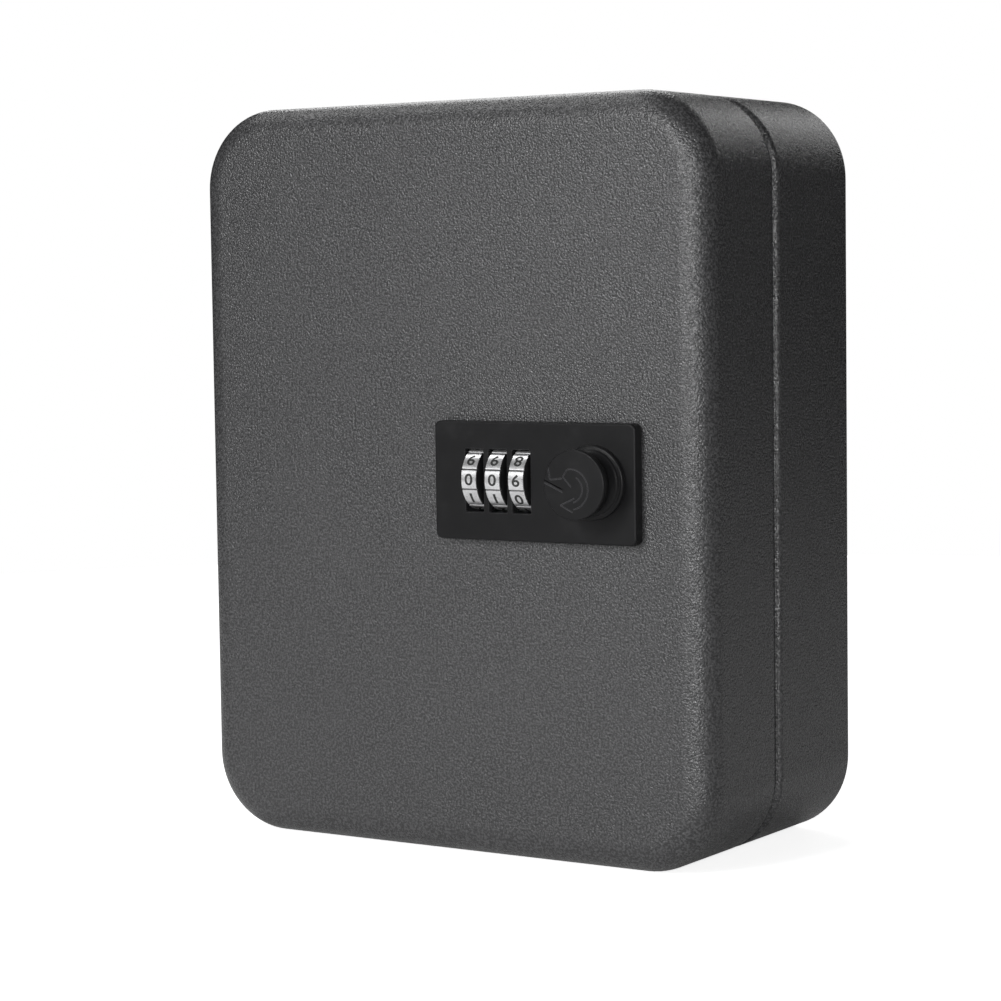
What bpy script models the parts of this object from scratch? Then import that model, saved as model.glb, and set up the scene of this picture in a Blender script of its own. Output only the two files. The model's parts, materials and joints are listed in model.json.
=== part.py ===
"""Wall-mounted key lock box with a three-digit combination lock and 48 key hooks.

Frame: metres, +Z up, +X to the right, the front faces -Y. The origin is at the centre of
the flat back, where the box meets the wall. The door is hinged on the left and is closed,
the lock is open: its cam stands upright, clear of the strike on the right.
"""
import math

import bmesh
import bpy

MM = 0.001

# Gaps
FIT_GAP = 0.3 * MM          # between pieces that are fixed to each other
RUN_GAP = 0.4 * MM          # between pieces that move past each other

# Box
BODY_WIDTH = 160 * MM
BODY_HEIGHT = 200 * MM
BODY_DEPTH = 80 * MM        # wall face to door face
DOOR_DEPTH = 35.6 * MM      # door face to door rim
SEAM = 3.4 * MM             # open joint between the door rim and the cabinet rim
SHEET = 1.0 * MM
CORNER_R = 21.5 * MM
FRONT_R = 8.0 * MM          # rounding of the door's front edge
BACK_R = 1.5 * MM
RIM_CHAMFER = 0.35 * MM
LIP_CLEAR = 0.5 * MM        # between the cabinet's lip and the door's inner wall
LIP_REACH = 8.4 * MM
CORNER_STEPS = 8
FRONT_STEPS = 5

# Wall screw holes in the back
WALL_HOLE_R = 3.0 * MM
WALL_HOLE_SIDE = 24 * MM    # from each side
WALL_HOLE_END = 27 * MM     # from the top and the bottom

# Hinge along the left edge
HINGE_END = 35 * MM         # from each end of the box to the hinge
HINGE_KNUCKLES = 7
LEAF_SHEET = 0.8 * MM
LEAF_WIDTH = 13 * MM
PIN_R = 1.0 * MM
PIN_HEAD = 1.6 * MM         # height of the pin's round head

# Key hooks
HOOK_ROWS = 4
HOOKS_PER_ROW = 7
HOOKS_SHORT_ROW = 3
HOOK_WIDTH = 3.0 * MM
HOOK_REACH = 14 * MM
HOOK_TIP = 5.0 * MM
HOOK_BEND_R = 1.6 * MM
STRIP_SHEET = 1.0 * MM
STRIP_HEIGHT = 11 * MM
STRIP_SIDE = 12 * MM        # from the wall's inside to the strip's end
STRIP_END = 10 * MM         # from the strip's end to its first hook
TOP_ROW_DROP = 30 * MM      # from the top of the box to the first row of hooks
BOTTOM_ROW_RISE = 38 * MM   # from the bottom of the box to the last row of hooks

# Lock, from its left end to its right end
LOCK_FROM_RIGHT = 49 * MM   # lock centre to the box's right side
LOCK_RISE = 0.9 * MM        # lock's axes above the box's centre
AXIS_RISE = 0.4 * MM        # lock's axes above the bezel's centre
BEZEL_SIDE = 3.0 * MM       # bezel beyond the case at each end
CASE_WALL = 1.0 * MM
RESET_SPACE = 6.0 * MM      # case wall to the first wheel
WHEEL_WIDTH = 4.8 * MM
WHEEL_PITCH = 7.25 * MM
SPRING_SPACE = 6.2 * MM     # last wheel to the partition
PARTITION = 1.2 * MM
SPINDLE_SPACE = 11.9 * MM   # partition to the spindle's axis
SPINDLE_END_SPACE = 8.4 * MM

# Lock, front to back and up and down
BEZEL_THICKNESS = 3.2 * MM
BEZEL_FACE = 1.2 * MM       # bezel skin in front of the wheels
BEZEL_MARGIN = 4.7 * MM     # bezel beyond the case, above and below
BEZEL_CORNER_R = 1.8 * MM
BEZEL_CHAMFER = 0.6 * MM
WINDOW_CLEAR = 0.95 * MM    # above and below the part of a wheel that shows
CASE_DEPTH = 18 * MM
COVER_SHEET = 1.0 * MM
CLAMP_SHEET = 1.2 * MM

# Wheels and their clutch
WHEELS = 3
DIGITS = 10
WHEEL_R = 8.5 * MM
WHEEL_SHOWS = 2.8 * MM      # how far a wheel stands out of the bezel
WHEEL_GROOVE = 0.9 * MM
AXLE_R = 1.2 * MM
SLEEVE_WALL = 1.4 * MM
GATE_SHEET = 0.9 * MM
GATE_NOTCH = 1.1 * MM       # half width
TOOTH_HALF_WIDTH = 0.5 * MM
TOOTH_LENGTH = 0.9 * MM
RESET_TRAVEL = 1.0 * MM
ARM_SHEET = 1.2 * MM
ARM_HALF_HEIGHT = 3.0 * MM
DETENT_SHEET = 0.3 * MM
DETENT_SPACE = 1.3 * MM     # wheel to the case's roof
FENCE_SHEET = 1.6 * MM
FENCE_HALF_HEIGHT = 2.0 * MM
SPRING_WIRE_R = 0.3 * MM
SPRING_TURNS = 4

# Knob, spindle and cam
KNOB_R = 8.9 * MM
KNOB_BASE_R = 9.6 * MM
KNOB_NECK_R = 7.4 * MM
KNOB_LENGTH = 9.7 * MM      # bezel face to knob face
SPINDLE_R = 4.0 * MM
SPINDLE_SINK = 5.5 * MM     # spindle inside the knob
COLLAR_R = 7.0 * MM
SQUARE_HALF = 3.2 * MM
CAM_SHEET = 2.0 * MM
CAM_LENGTH = 25.4 * MM
CAM_HALF_WIDTH = 6.0 * MM
CAM_HUB_R = 8.0 * MM
WASHER_SHEET = 0.8 * MM
WASHER_R = 4.5 * MM

# Screws
CAM_SCREW_R = 1.5 * MM
CAM_SCREW_HEAD_R = 3.4 * MM
CAM_SCREW_HEAD = 2.0 * MM
CAM_SCREW_LENGTH = 6.0 * MM
SCREW_R = 1.1 * MM
SCREW_HEAD_R = 1.9 * MM
SCREW_HEAD = 1.3 * MM
COVER_SCREW_LENGTH = 8.0 * MM
BOSS_R = 2.3 * MM
CLAMP_SCREW_INSET = 9.0 * MM   # from the bezel's end

# Strike
STRIKE_SHEET = 1.0 * MM
STRIKE_HALF_HEIGHT = 10 * MM
STRIKE_REACH = 8.0 * MM

# Derived places of the box
HALF_W = BODY_WIDTH / 2
HALF_H = BODY_HEIGHT / 2
DOOR_RIM_Y = -BODY_DEPTH + DOOR_DEPTH
CABINET_RIM_Y = DOOR_RIM_Y + SEAM
LIP_INSET = SHEET + LIP_CLEAR
LIP_FRONT_Y = CABINET_RIM_Y - LIP_REACH
HINGE_Y = DOOR_RIM_Y + SEAM / 2
HINGE_LENGTH = BODY_HEIGHT - 2 * HINGE_END
KNUCKLE_R = SHEET + FIT_GAP + LEAF_SHEET
BORE_R = PIN_R + FIT_GAP
HINGE_NOTCH = HINGE_LENGTH / 2 + FIT_GAP + PIN_HEAD + RUN_GAP

# Derived places of the lock, from its centre on the door's face
WHEEL_SPAN = (WHEELS - 1) * WHEEL_PITCH
BEZEL_WIDTH = (2 * (BEZEL_SIDE + CASE_WALL) + RESET_SPACE + WHEEL_SPAN + WHEEL_WIDTH
               + SPRING_SPACE + PARTITION + SPINDLE_SPACE + SPINDLE_END_SPACE)
CASE_HALF_W = BEZEL_WIDTH / 2 - BEZEL_SIDE
FIRST_WHEEL_X = -CASE_HALF_W + CASE_WALL + RESET_SPACE + WHEEL_WIDTH / 2
PARTITION_X = FIRST_WHEEL_X + WHEEL_SPAN + WHEEL_WIDTH / 2 + SPRING_SPACE
SPINDLE_X = PARTITION_X + PARTITION + SPINDLE_SPACE
CASE_HALF_H = WHEEL_R + DETENT_SPACE + CASE_WALL
BEZEL_HALF_H = CASE_HALF_H + BEZEL_MARGIN
BEZEL_BACK_Y = -FIT_GAP
BEZEL_FRONT_Y = BEZEL_BACK_Y - BEZEL_THICKNESS
FACE_BACK_Y = BEZEL_FRONT_Y + BEZEL_FACE
CASE_FRONT_Y = BEZEL_BACK_Y + FIT_GAP
AXLE_Y = BEZEL_FRONT_Y - WHEEL_SHOWS + WHEEL_R
GATE_R = AXLE_Y - FACE_BACK_Y - RUN_GAP
SLEEVE_R = AXLE_R + FIT_GAP + SLEEVE_WALL
WHEEL_BORE_R = SLEEVE_R + RUN_GAP
GATE_X = WHEEL_WIDTH / 2 + RUN_GAP
SLEEVE_RIGHT = GATE_X + GATE_SHEET
SLEEVE_LEFT = SLEEVE_RIGHT + FIT_GAP - WHEEL_PITCH
CASE_BACK_Y = CASE_FRONT_Y + CASE_DEPTH
COVER_BACK_Y = CASE_BACK_Y + FIT_GAP + COVER_SHEET
CAM_FRONT_Y = COVER_BACK_Y + FIT_GAP + SCREW_HEAD + RUN_GAP
CAM_BACK_Y = CAM_FRONT_Y + CAM_SHEET
FENCE_FRONT_Y = AXLE_Y + WHEEL_R + RUN_GAP
CLAMP_FRONT_Y = SHEET + FIT_GAP
CLAMP_BACK_Y = CLAMP_FRONT_Y + CLAMP_SHEET
LOCK_SPOT = (HALF_W - LOCK_FROM_RIGHT, -BODY_DEPTH, LOCK_RISE)


# Shapes

def swap(axis, u, v, w):
    """Turn plane coordinates u, v and depth w along `axis` into x, y, z."""
    return {"X": (w, u, v), "Y": (u, w, v), "Z": (u, v, w)}[axis]


def arc(centre, radius, start, end, steps):
    """Points on an arc, angles in degrees."""
    turns = [math.radians(start + (end - start) * i / steps) for i in range(steps + 1)]
    return [(centre[0] + radius * math.cos(t), centre[1] + radius * math.sin(t)) for t in turns]


def circle(centre, radius, steps):
    """A full circle of points."""
    return arc(centre, radius, 0, 360, steps)[:-1]


def rounded(half_u, half_v, radius, steps, centre=(0, 0)):
    """The outline of a rectangle with round corners."""
    points = []
    for side_u, side_v, start in ((1, 1, 0), (-1, 1, 90), (-1, -1, 180), (1, -1, 270)):
        corner = (centre[0] + side_u * (half_u - radius), centre[1] + side_v * (half_v - radius))
        points += arc(corner, radius, start, start + 90, steps)
    return points


def ribbon(path, thickness, bend_r, steps=2):
    """The outline of a strip bent along a path: round outside bends, even thickness."""
    centre_line = [path[0]]
    for before, corner, after in zip(path, path[1:], path[2:]):
        centre_line += bend(before, corner, after, bend_r, steps)
    centre_line.append(path[-1])
    left = []
    right = []
    for i, point in enumerate(centre_line):
        ahead = centre_line[min(i + 1, len(centre_line) - 1)]
        behind = centre_line[max(i - 1, 0)]
        length = math.hypot(ahead[0] - behind[0], ahead[1] - behind[1])
        side = ((behind[1] - ahead[1]) / length, (ahead[0] - behind[0]) / length)
        left.append((point[0] + side[0] * thickness / 2, point[1] + side[1] * thickness / 2))
        right.append((point[0] - side[0] * thickness / 2, point[1] - side[1] * thickness / 2))
    return left + right[::-1]


def bend(before, corner, after, radius, steps):
    """Points of the curve that rounds one corner of a path."""
    first = step_from(corner, before, radius)
    last = step_from(corner, after, radius)
    points = []
    for i in range(steps + 1):
        t = i / steps
        points.append(tuple((1 - t) ** 2 * a + 2 * t * (1 - t) * c + t * t * b
                            for a, c, b in zip(first, corner, last)))
    return points


def step_from(point, target, distance):
    """The point that lies `distance` from `point` toward `target`."""
    length = math.hypot(target[0] - point[0], target[1] - point[1])
    return tuple(p + (q - p) * distance / length for p, q in zip(point, target))


def add_slab(mesh, axis, outer, holes, low, high):
    """Add a flat piece with holes, from depth `low` to `high` along an axis."""
    edges = []
    for ring in [outer] + list(holes):
        corners = [mesh.verts.new(swap(axis, u, v, low)) for u, v in ring]
        for i, corner in enumerate(corners):
            edges.append(mesh.edges.new((corners[i - 1], corner)))
    filled = bmesh.ops.triangle_fill(mesh, edges=edges, use_beauty=True)
    faces = [item for item in filled["geom"] if isinstance(item, bmesh.types.BMFace)]
    raised = bmesh.ops.extrude_face_region(mesh, geom=faces, use_keep_orig=True)
    tops = [item for item in raised["geom"] if isinstance(item, bmesh.types.BMVert)]
    bmesh.ops.translate(mesh, verts=tops, vec=swap(axis, 0, 0, high - low))


def add_turned(mesh, axis, profile, steps, centre=(0, 0)):
    """Add a turned piece: profile of (radius, depth), closed at both ends on the axis."""
    rings = []
    for radius, depth in profile:
        if radius == 0:
            rings.append([mesh.verts.new(swap(axis, centre[0], centre[1], depth))])
        else:
            rings.append([mesh.verts.new(swap(axis, u, v, depth))
                          for u, v in circle(centre, radius, steps)])
    for first, second in zip(rings, rings[1:]):
        bridge(mesh, first, second)


def add_ring(mesh, axis, profile, steps, centre=(0, 0)):
    """Add a turned ring: the profile of (radius, depth) closes on itself."""
    rings = [[mesh.verts.new(swap(axis, u, v, depth)) for u, v in circle(centre, radius, steps)]
             for radius, depth in profile]
    for i, ring in enumerate(rings):
        bridge(mesh, rings[i - 1], ring)


def bridge(mesh, first, second):
    """Join two rings of vertices, either of which may be a single point."""
    count = max(len(first), len(second))
    for i in range(count):
        j = (i + 1) % count
        corners = [first[i % len(first)], first[j % len(first)],
                   second[j % len(second)], second[i % len(second)]]
        mesh.faces.new(list(dict.fromkeys(corners)))


def add_loft(mesh, sections):
    """Add a piece lofted through outlines that lie across Y, with flat ends."""
    rings = [[mesh.verts.new((u, depth, v)) for u, v in outline] for outline, depth in sections]
    for first, second in zip(rings, rings[1:]):
        bridge(mesh, first, second)
    mesh.faces.new(rings[0])
    mesh.faces.new(rings[-1])


def add_box(mesh, low, high):
    """Add a cuboid between two corners."""
    outer = [(low[0], low[1]), (high[0], low[1]), (high[0], high[1]), (low[0], high[1])]
    add_slab(mesh, "Z", outer, [], low[2], high[2])


# Objects

def material(name, colour, roughness, metallic):
    """A Principled material."""
    made = bpy.data.materials.new(name)
    made.use_nodes = True
    shader = made.node_tree.nodes["Principled BSDF"]
    shader.inputs["Base Color"].default_value = (*colour, 1)
    shader.inputs["Roughness"].default_value = roughness
    shader.inputs["Metallic"].default_value = metallic
    made.diffuse_color = (*colour, 1)
    return made


def solid(name, mesh, surface, place=None, at=(0, 0, 0)):
    """Make an object of a finished bmesh, under the empty `place`."""
    bmesh.ops.recalc_face_normals(mesh, faces=mesh.faces)
    data = bpy.data.meshes.new(name)
    mesh.to_mesh(data)
    mesh.free()
    made = bpy.data.objects.new(name, data)
    bpy.context.collection.objects.link(made)
    made.parent = place
    made.location = at
    if surface:
        data.materials.append(surface)
        smooth(data)
    return made


def smooth(data):
    """Shade the round surfaces of a mesh smooth."""
    data.shade_smooth()
    data.set_sharp_from_angle(angle=math.radians(35))


def carve(target, tool_mesh, operation="DIFFERENCE"):
    """Apply one exact Boolean to an object, in the object's own frame."""
    tool = solid("tool", tool_mesh, None, target.parent, target.location)
    step = target.modifiers.new("carve", "BOOLEAN")
    step.operation = operation
    step.solver = "EXACT"
    step.object = tool
    bpy.context.view_layer.update()
    graph = bpy.context.evaluated_depsgraph_get()
    result = bpy.data.meshes.new_from_object(target.evaluated_get(graph))
    target.modifiers.remove(step)
    target.data = result
    smooth(result)
    bpy.data.objects.remove(tool)


def spot(name, place, at):
    """An empty that carries pieces or marks an axis."""
    made = bpy.data.objects.new(name, None)
    made.empty_display_size = 10 * MM
    bpy.context.collection.objects.link(made)
    made.parent = place
    made.location = at
    return made


def body_outline(inset):
    """The outline of the box, moved in by `inset`."""
    return rounded(HALF_W - inset, HALF_H - inset, CORNER_R - inset, CORNER_STEPS)


# Box pieces

def cabinet_shell(surface):
    """The back half: an open tray with a stepped-in lip that enters the door."""
    back_turn = [math.radians(90 * i / 3) for i in range(4)]
    profile = [(BACK_R * (1 - math.sin(t)), -BACK_R * (1 - math.cos(t))) for t in back_turn]
    profile += [(0, CABINET_RIM_Y + RIM_CHAMFER), (RIM_CHAMFER, CABINET_RIM_Y),
                (LIP_INSET, CABINET_RIM_Y), (LIP_INSET, LIP_FRONT_Y),
                (LIP_INSET + SHEET, LIP_FRONT_Y), (LIP_INSET + SHEET, CABINET_RIM_Y + SHEET),
                (SHEET, CABINET_RIM_Y + SHEET), (SHEET, -BACK_R), (BACK_R, -SHEET)]
    mesh = bmesh.new()
    add_loft(mesh, [(body_outline(inset), y) for inset, y in profile])
    made = solid("cabinet_shell", mesh, surface)
    tool = bmesh.new()
    for side in (-1, 1):
        for end in (-1, 1):
            centre = (side * (HALF_W - WALL_HOLE_SIDE), end * (HALF_H - WALL_HOLE_END))
            add_slab(tool, "Y", circle(centre, WALL_HOLE_R, 20), [], -2 * SHEET, SHEET)
    notch_end = HINGE_Y + max(KNUCKLE_R, SEAM / 2 + SHEET) + RUN_GAP
    add_box(tool, (-HALF_W - KNUCKLE_R, LIP_FRONT_Y - SHEET, -HINGE_NOTCH),
            (-HALF_W + LIP_INSET + 1.5 * SHEET, notch_end, HINGE_NOTCH))
    carve(made, tool)
    return made


def door_shell(surface, place):
    """The front half: a pressed tray with a broad rounded front edge."""
    turn = [math.radians(90 * i / FRONT_STEPS) for i in range(FRONT_STEPS + 1)]
    inner_r = FRONT_R - SHEET
    profile = [(FRONT_R * (1 - math.sin(t)), -BODY_DEPTH + FRONT_R * (1 - math.cos(t)))
               for t in turn]
    profile += [(0, DOOR_RIM_Y - RIM_CHAMFER), (RIM_CHAMFER, DOOR_RIM_Y), (SHEET, DOOR_RIM_Y)]
    profile += [(SHEET + inner_r * (1 - math.sin(t)),
                 -BODY_DEPTH + SHEET + inner_r * (1 - math.cos(t))) for t in reversed(turn)]
    mesh = bmesh.new()
    add_loft(mesh, [(body_outline(inset), y) for inset, y in profile])
    bmesh.ops.translate(mesh, verts=mesh.verts, vec=(HALF_W, -HINGE_Y, 0))
    made = solid("door_shell", mesh, surface, place)
    tool = bmesh.new()
    centre = (LOCK_SPOT[0] + HALF_W, LOCK_SPOT[2])
    front = -BODY_DEPTH - HINGE_Y
    add_slab(tool, "Y", rounded(CASE_HALF_W + RUN_GAP, CASE_HALF_H + RUN_GAP, SHEET, 2, centre),
             [], front - SHEET, front + 2 * SHEET)
    for x, z in clamp_screw_spots():
        hole = circle((centre[0] + x, centre[1] + z), SCREW_R + RUN_GAP, 12)
        add_slab(tool, "Y", hole, [], front - SHEET, front + 2 * SHEET)
    add_box(tool, (-KNUCKLE_R, -KNUCKLE_R - RUN_GAP, -HINGE_NOTCH),
            (1.5 * SHEET, SHEET, HINGE_NOTCH))
    carve(made, tool)
    return made


def hinge_leaf(name, surface, place, side, knuckles):
    """One leaf: a flat strip inside the wall and the knuckles it carries (side is +-1)."""
    pitch = HINGE_LENGTH / HINGE_KNUCKLES
    near = KNUCKLE_R + RUN_GAP
    inner = KNUCKLE_R - LEAF_SHEET
    mesh = bmesh.new()
    strip = [(inner, side * near), (KNUCKLE_R, side * near),
             (KNUCKLE_R, side * LEAF_WIDTH), (inner, side * LEAF_WIDTH)]
    add_slab(mesh, "Z", strip, [], -HINGE_LENGTH / 2, HINGE_LENGTH / 2)
    made = solid(name, mesh, surface, place)
    meet = math.degrees(math.acos(inner / KNUCKLE_R))
    curl = arc((0, 0), KNUCKLE_R, meet, 360, 16)
    outline = [(x, side * y) for x, y in curl]
    outline += [(KNUCKLE_R, side * (near + LEAF_SHEET / 2)), (inner, side * (near + LEAF_SHEET / 2))]
    tool = bmesh.new()
    for i in knuckles:
        low = -HINGE_LENGTH / 2 + i * pitch + FIT_GAP / 2
        add_slab(tool, "Z", outline, [circle((0, 0), BORE_R, 16)], low, low + pitch - FIT_GAP)
    carve(made, tool, "UNION")
    return made


def hinge_pin(surface, place):
    """The pin, with a low round head at the top."""
    half = HINGE_LENGTH / 2
    seat = half + FIT_GAP
    mesh = bmesh.new()
    add_turned(mesh, "Z", [(0, -half), (PIN_R, -half), (PIN_R, seat), (1.6 * PIN_R, seat),
                           (1.6 * PIN_R, seat + PIN_HEAD / 2), (PIN_R, seat + PIN_HEAD),
                           (0, seat + PIN_HEAD)], 12)
    return solid("hinge_pin", mesh, surface, place)


def strip_span():
    """Half the length of a full strip and the spacing of its hooks."""
    half = HALF_W - SHEET - STRIP_SIDE
    return half, 2 * (half - STRIP_END) / (HOOKS_PER_ROW - 1)


def row_height(row):
    """The height of a row of hooks, counted from the top."""
    top = HALF_H - TOP_ROW_DROP
    bottom = -HALF_H + BOTTOM_ROW_RISE
    return top + (bottom - top) * row / (HOOK_ROWS - 1)


def hook_strip(name, surface, place, at, facing, left, right, count):
    """A flat strip with hooks bent out of its lower edge, facing -Y (-1) or +Y (+1)."""
    pitch = min(strip_span()[1], (right - left - 2 * STRIP_END) / (count - 1))
    mesh = bmesh.new()
    middle = ((left + right) / 2, STRIP_HEIGHT / 2)
    face = rounded((right - left) / 2, STRIP_HEIGHT / 2, 1.5 * STRIP_SHEET, 1, middle)
    add_slab(mesh, "Y", face, [], 0, facing * STRIP_SHEET)
    made = solid(name, mesh, surface, place, at)
    half = STRIP_SHEET / 2
    path = [(facing * half, STRIP_HEIGHT / 2), (facing * half, half),
            (facing * HOOK_REACH, 2 * half), (facing * (HOOK_REACH + half), HOOK_TIP)]
    outline = ribbon(path, STRIP_SHEET * 0.96, HOOK_BEND_R)
    tool = bmesh.new()
    for i in range(count):
        x = left + STRIP_END + i * pitch
        add_slab(tool, "X", outline, [], x - HOOK_WIDTH / 2, x + HOOK_WIDTH / 2)
    carve(made, tool, "UNION")
    return made


def back_strips(surface):
    """Four full strips on the inside of the back."""
    half = strip_span()[0]
    for row in range(HOOK_ROWS):
        at = (0, -SHEET - FIT_GAP, row_height(row))
        hook_strip(f"back_hook_strip_{row + 1}", surface, None, at, -1, -half, half, HOOKS_PER_ROW)


def door_strips(surface, place):
    """Two full strips on the door, and two short ones beside the lock."""
    half = strip_span()[0]
    lock_left = LOCK_SPOT[0] - BEZEL_WIDTH / 2
    short_right = min(-half + 2 * STRIP_END + 2 * strip_span()[1], lock_left - STRIP_SHEET)
    for row in range(HOOK_ROWS):
        full = row in (0, HOOK_ROWS - 1)
        right = half if full else short_right
        count = HOOKS_PER_ROW if full else HOOKS_SHORT_ROW
        at = (HALF_W, -BODY_DEPTH - HINGE_Y + SHEET + FIT_GAP, row_height(row))
        hook_strip(f"door_hook_strip_{row + 1}", surface, place, at, 1, -half, right, count)


def strike_plate(surface):
    """An angle inside the right wall; the cam turns behind its bent-in edge."""
    wall = HALF_W - LIP_INSET - SHEET - FIT_GAP - STRIKE_SHEET / 2
    front = -BODY_DEPTH + CAM_FRONT_Y - RUN_GAP - STRIKE_SHEET / 2
    path = [(wall - STRIKE_REACH, front), (wall, front), (wall, CABINET_RIM_Y)]
    mesh = bmesh.new()
    add_slab(mesh, "Z", ribbon(path, STRIKE_SHEET, 1.5 * STRIKE_SHEET), [],
             LOCK_RISE - STRIKE_HALF_HEIGHT, LOCK_RISE + STRIKE_HALF_HEIGHT)
    return solid("strike_plate", mesh, surface)


# Lock pieces, placed from the lock's centre on the door's face

def clamp_screw_spots():
    """Where the four clamp screws go."""
    x = BEZEL_WIDTH / 2 - CLAMP_SCREW_INSET
    z = CASE_HALF_H + FIT_GAP + RUN_GAP + SCREW_HEAD_R
    return [(side * x, end * z) for end in (1, -1) for side in (-1, 1)]


def cover_screw_spots():
    """Where the four cover screws go: the corners of the case."""
    x = CASE_HALF_W - CASE_WALL - BOSS_R + RUN_GAP
    z = CASE_HALF_H - CASE_WALL - BOSS_R + RUN_GAP
    return [(side * x, end * z) for end in (1, -1) for side in (-1, 1)]


def wheel_x(index):
    """The centre of a digit wheel."""
    return FIRST_WHEEL_X + index * WHEEL_PITCH


def lock_bezel(surface, place):
    """The front plate, with a window for each wheel and a hole for the spindle."""
    half_w = BEZEL_WIDTH / 2
    mesh = bmesh.new()
    add_loft(mesh, [(rounded(half_w - inset, BEZEL_HALF_H - inset, BEZEL_CORNER_R - inset, 4,
                             (0, -AXIS_RISE)), y)
                    for inset, y in ((0, BEZEL_BACK_Y), (0, BEZEL_FRONT_Y + BEZEL_CHAMFER),
                                     (BEZEL_CHAMFER, BEZEL_FRONT_Y))])
    made = solid("lock_bezel", mesh, surface, place)
    shows = math.sqrt(WHEEL_R ** 2 - (AXLE_Y - FACE_BACK_Y) ** 2)
    window_half = (WHEEL_WIDTH / 2 + FIT_GAP, shows + WINDOW_CLEAR)
    tool = bmesh.new()
    for i in range(WHEELS):
        window = rounded(*window_half, FIT_GAP, 2, (wheel_x(i), -AXIS_RISE))
        add_slab(tool, "Y", window, [], BEZEL_FRONT_Y - SHEET, FACE_BACK_Y)
    for x, z in clamp_screw_spots():
        bore = circle((x, z), SCREW_R + FIT_GAP, 12)
        add_slab(tool, "Y", bore, [], BEZEL_FRONT_Y + 0.8 * BEZEL_FACE, BEZEL_BACK_Y + SHEET)
    spindle_hole = circle((SPINDLE_X, 0), SPINDLE_R + RUN_GAP, 28)
    add_slab(tool, "Y", spindle_hole, [], BEZEL_FRONT_Y - SHEET, BEZEL_BACK_Y + SHEET)
    carve(made, tool)
    pocket = bmesh.new()
    low = (wheel_x(0) + SLEEVE_LEFT - RUN_GAP, FACE_BACK_Y, -WHEEL_R - RUN_GAP)
    high = (PARTITION_X, BEZEL_BACK_Y + SHEET, WHEEL_R + RUN_GAP)
    add_box(pocket, low, high)
    carve(made, pocket)
    return made


def lock_case(surface, place):
    """The case behind the bezel: a frame with a partition and four screw bosses."""
    high = CASE_HALF_H - CASE_WALL
    left = [(-CASE_HALF_W + CASE_WALL, -high), (PARTITION_X, -high),
            (PARTITION_X, high), (-CASE_HALF_W + CASE_WALL, high)]
    right = [(PARTITION_X + PARTITION, -high), (CASE_HALF_W - CASE_WALL, -high),
             (CASE_HALF_W - CASE_WALL, high), (PARTITION_X + PARTITION, high)]
    mesh = bmesh.new()
    add_slab(mesh, "Y", rounded(CASE_HALF_W, CASE_HALF_H, CASE_WALL, 2), [left, right],
             CASE_FRONT_Y, CASE_BACK_Y)
    made = solid("lock_case", mesh, surface, place)
    bosses = bmesh.new()
    bores = bmesh.new()
    for x, z in cover_screw_spots():
        add_slab(bosses, "Y", circle((x, z), BOSS_R, 12), [], CASE_FRONT_Y, CASE_BACK_Y)
        bore = circle((x, z), SCREW_R + FIT_GAP, 12)
        add_slab(bores, "Y", bore, [], CASE_BACK_Y - COVER_SCREW_LENGTH, CASE_BACK_Y + SHEET)
    carve(made, bosses, "UNION")
    axle_hole = circle((AXLE_Y, 0), AXLE_R + FIT_GAP, 16)
    add_slab(bores, "X", axle_hole, [], -CASE_HALF_W - SHEET, PARTITION_X + PARTITION + SHEET)
    carve(made, bores)
    slot = bmesh.new()
    add_box(slot, (PARTITION_X - SHEET, FENCE_FRONT_Y - RUN_GAP, -FENCE_HALF_HEIGHT - RUN_GAP),
            (PARTITION_X + PARTITION + SHEET, FENCE_FRONT_Y + FENCE_SHEET + RUN_GAP,
             FENCE_HALF_HEIGHT + RUN_GAP))
    carve(made, slot)
    return made


def arm_x():
    """The left face of the reset arm, beside the first sleeve."""
    return wheel_x(0) + SLEEVE_LEFT - FIT_GAP - ARM_SHEET


def lock_cover(surface, place):
    """The rear cover, with holes for the spindle, the screws and the reset arm."""
    holes = [circle((x, z), SCREW_R + FIT_GAP, 12) for x, z in cover_screw_spots()]
    holes.append(circle((SPINDLE_X, 0), SPINDLE_R + RUN_GAP, 28))
    slot_low = arm_x() - RUN_GAP
    slot_high = arm_x() + ARM_SHEET + RESET_TRAVEL + RUN_GAP
    holes.append(rounded((slot_high - slot_low) / 2, ARM_HALF_HEIGHT + RUN_GAP, RUN_GAP, 2,
                         ((slot_low + slot_high) / 2, 0)))
    mesh = bmesh.new()
    add_slab(mesh, "Y", rounded(CASE_HALF_W, CASE_HALF_H, 1.5 * CASE_WALL, 3), holes,
             CASE_BACK_Y + FIT_GAP, COVER_BACK_Y)
    return solid("lock_cover", mesh, surface, place)


def clamp_frame(surface, place):
    """The frame behind the door skin that the four clamp screws pull the bezel to."""
    holes = [circle(centre, SCREW_R + FIT_GAP, 12) for centre in clamp_screw_spots()]
    holes.append(rounded(CASE_HALF_W + FIT_GAP, CASE_HALF_H + FIT_GAP, CASE_WALL, 2))
    mesh = bmesh.new()
    add_slab(mesh, "Y", rounded(BEZEL_WIDTH / 2, BEZEL_HALF_H, BEZEL_CORNER_R, 3), holes,
             CLAMP_FRONT_Y, CLAMP_BACK_Y)
    return solid("clamp_frame", mesh, surface, place)


def small_screw(name, surface, place, at, length):
    """A round-head screw that points to -Y, placed by the underside of its head."""
    mesh = bmesh.new()
    add_turned(mesh, "Y", [(0, -length), (SCREW_R, -length), (SCREW_R, 0), (SCREW_HEAD_R, 0),
                           (SCREW_HEAD_R, 0.5 * SCREW_HEAD), (0.7 * SCREW_HEAD_R, SCREW_HEAD),
                           (0, SCREW_HEAD)], 12)
    return solid(name, mesh, surface, place, at)


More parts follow.
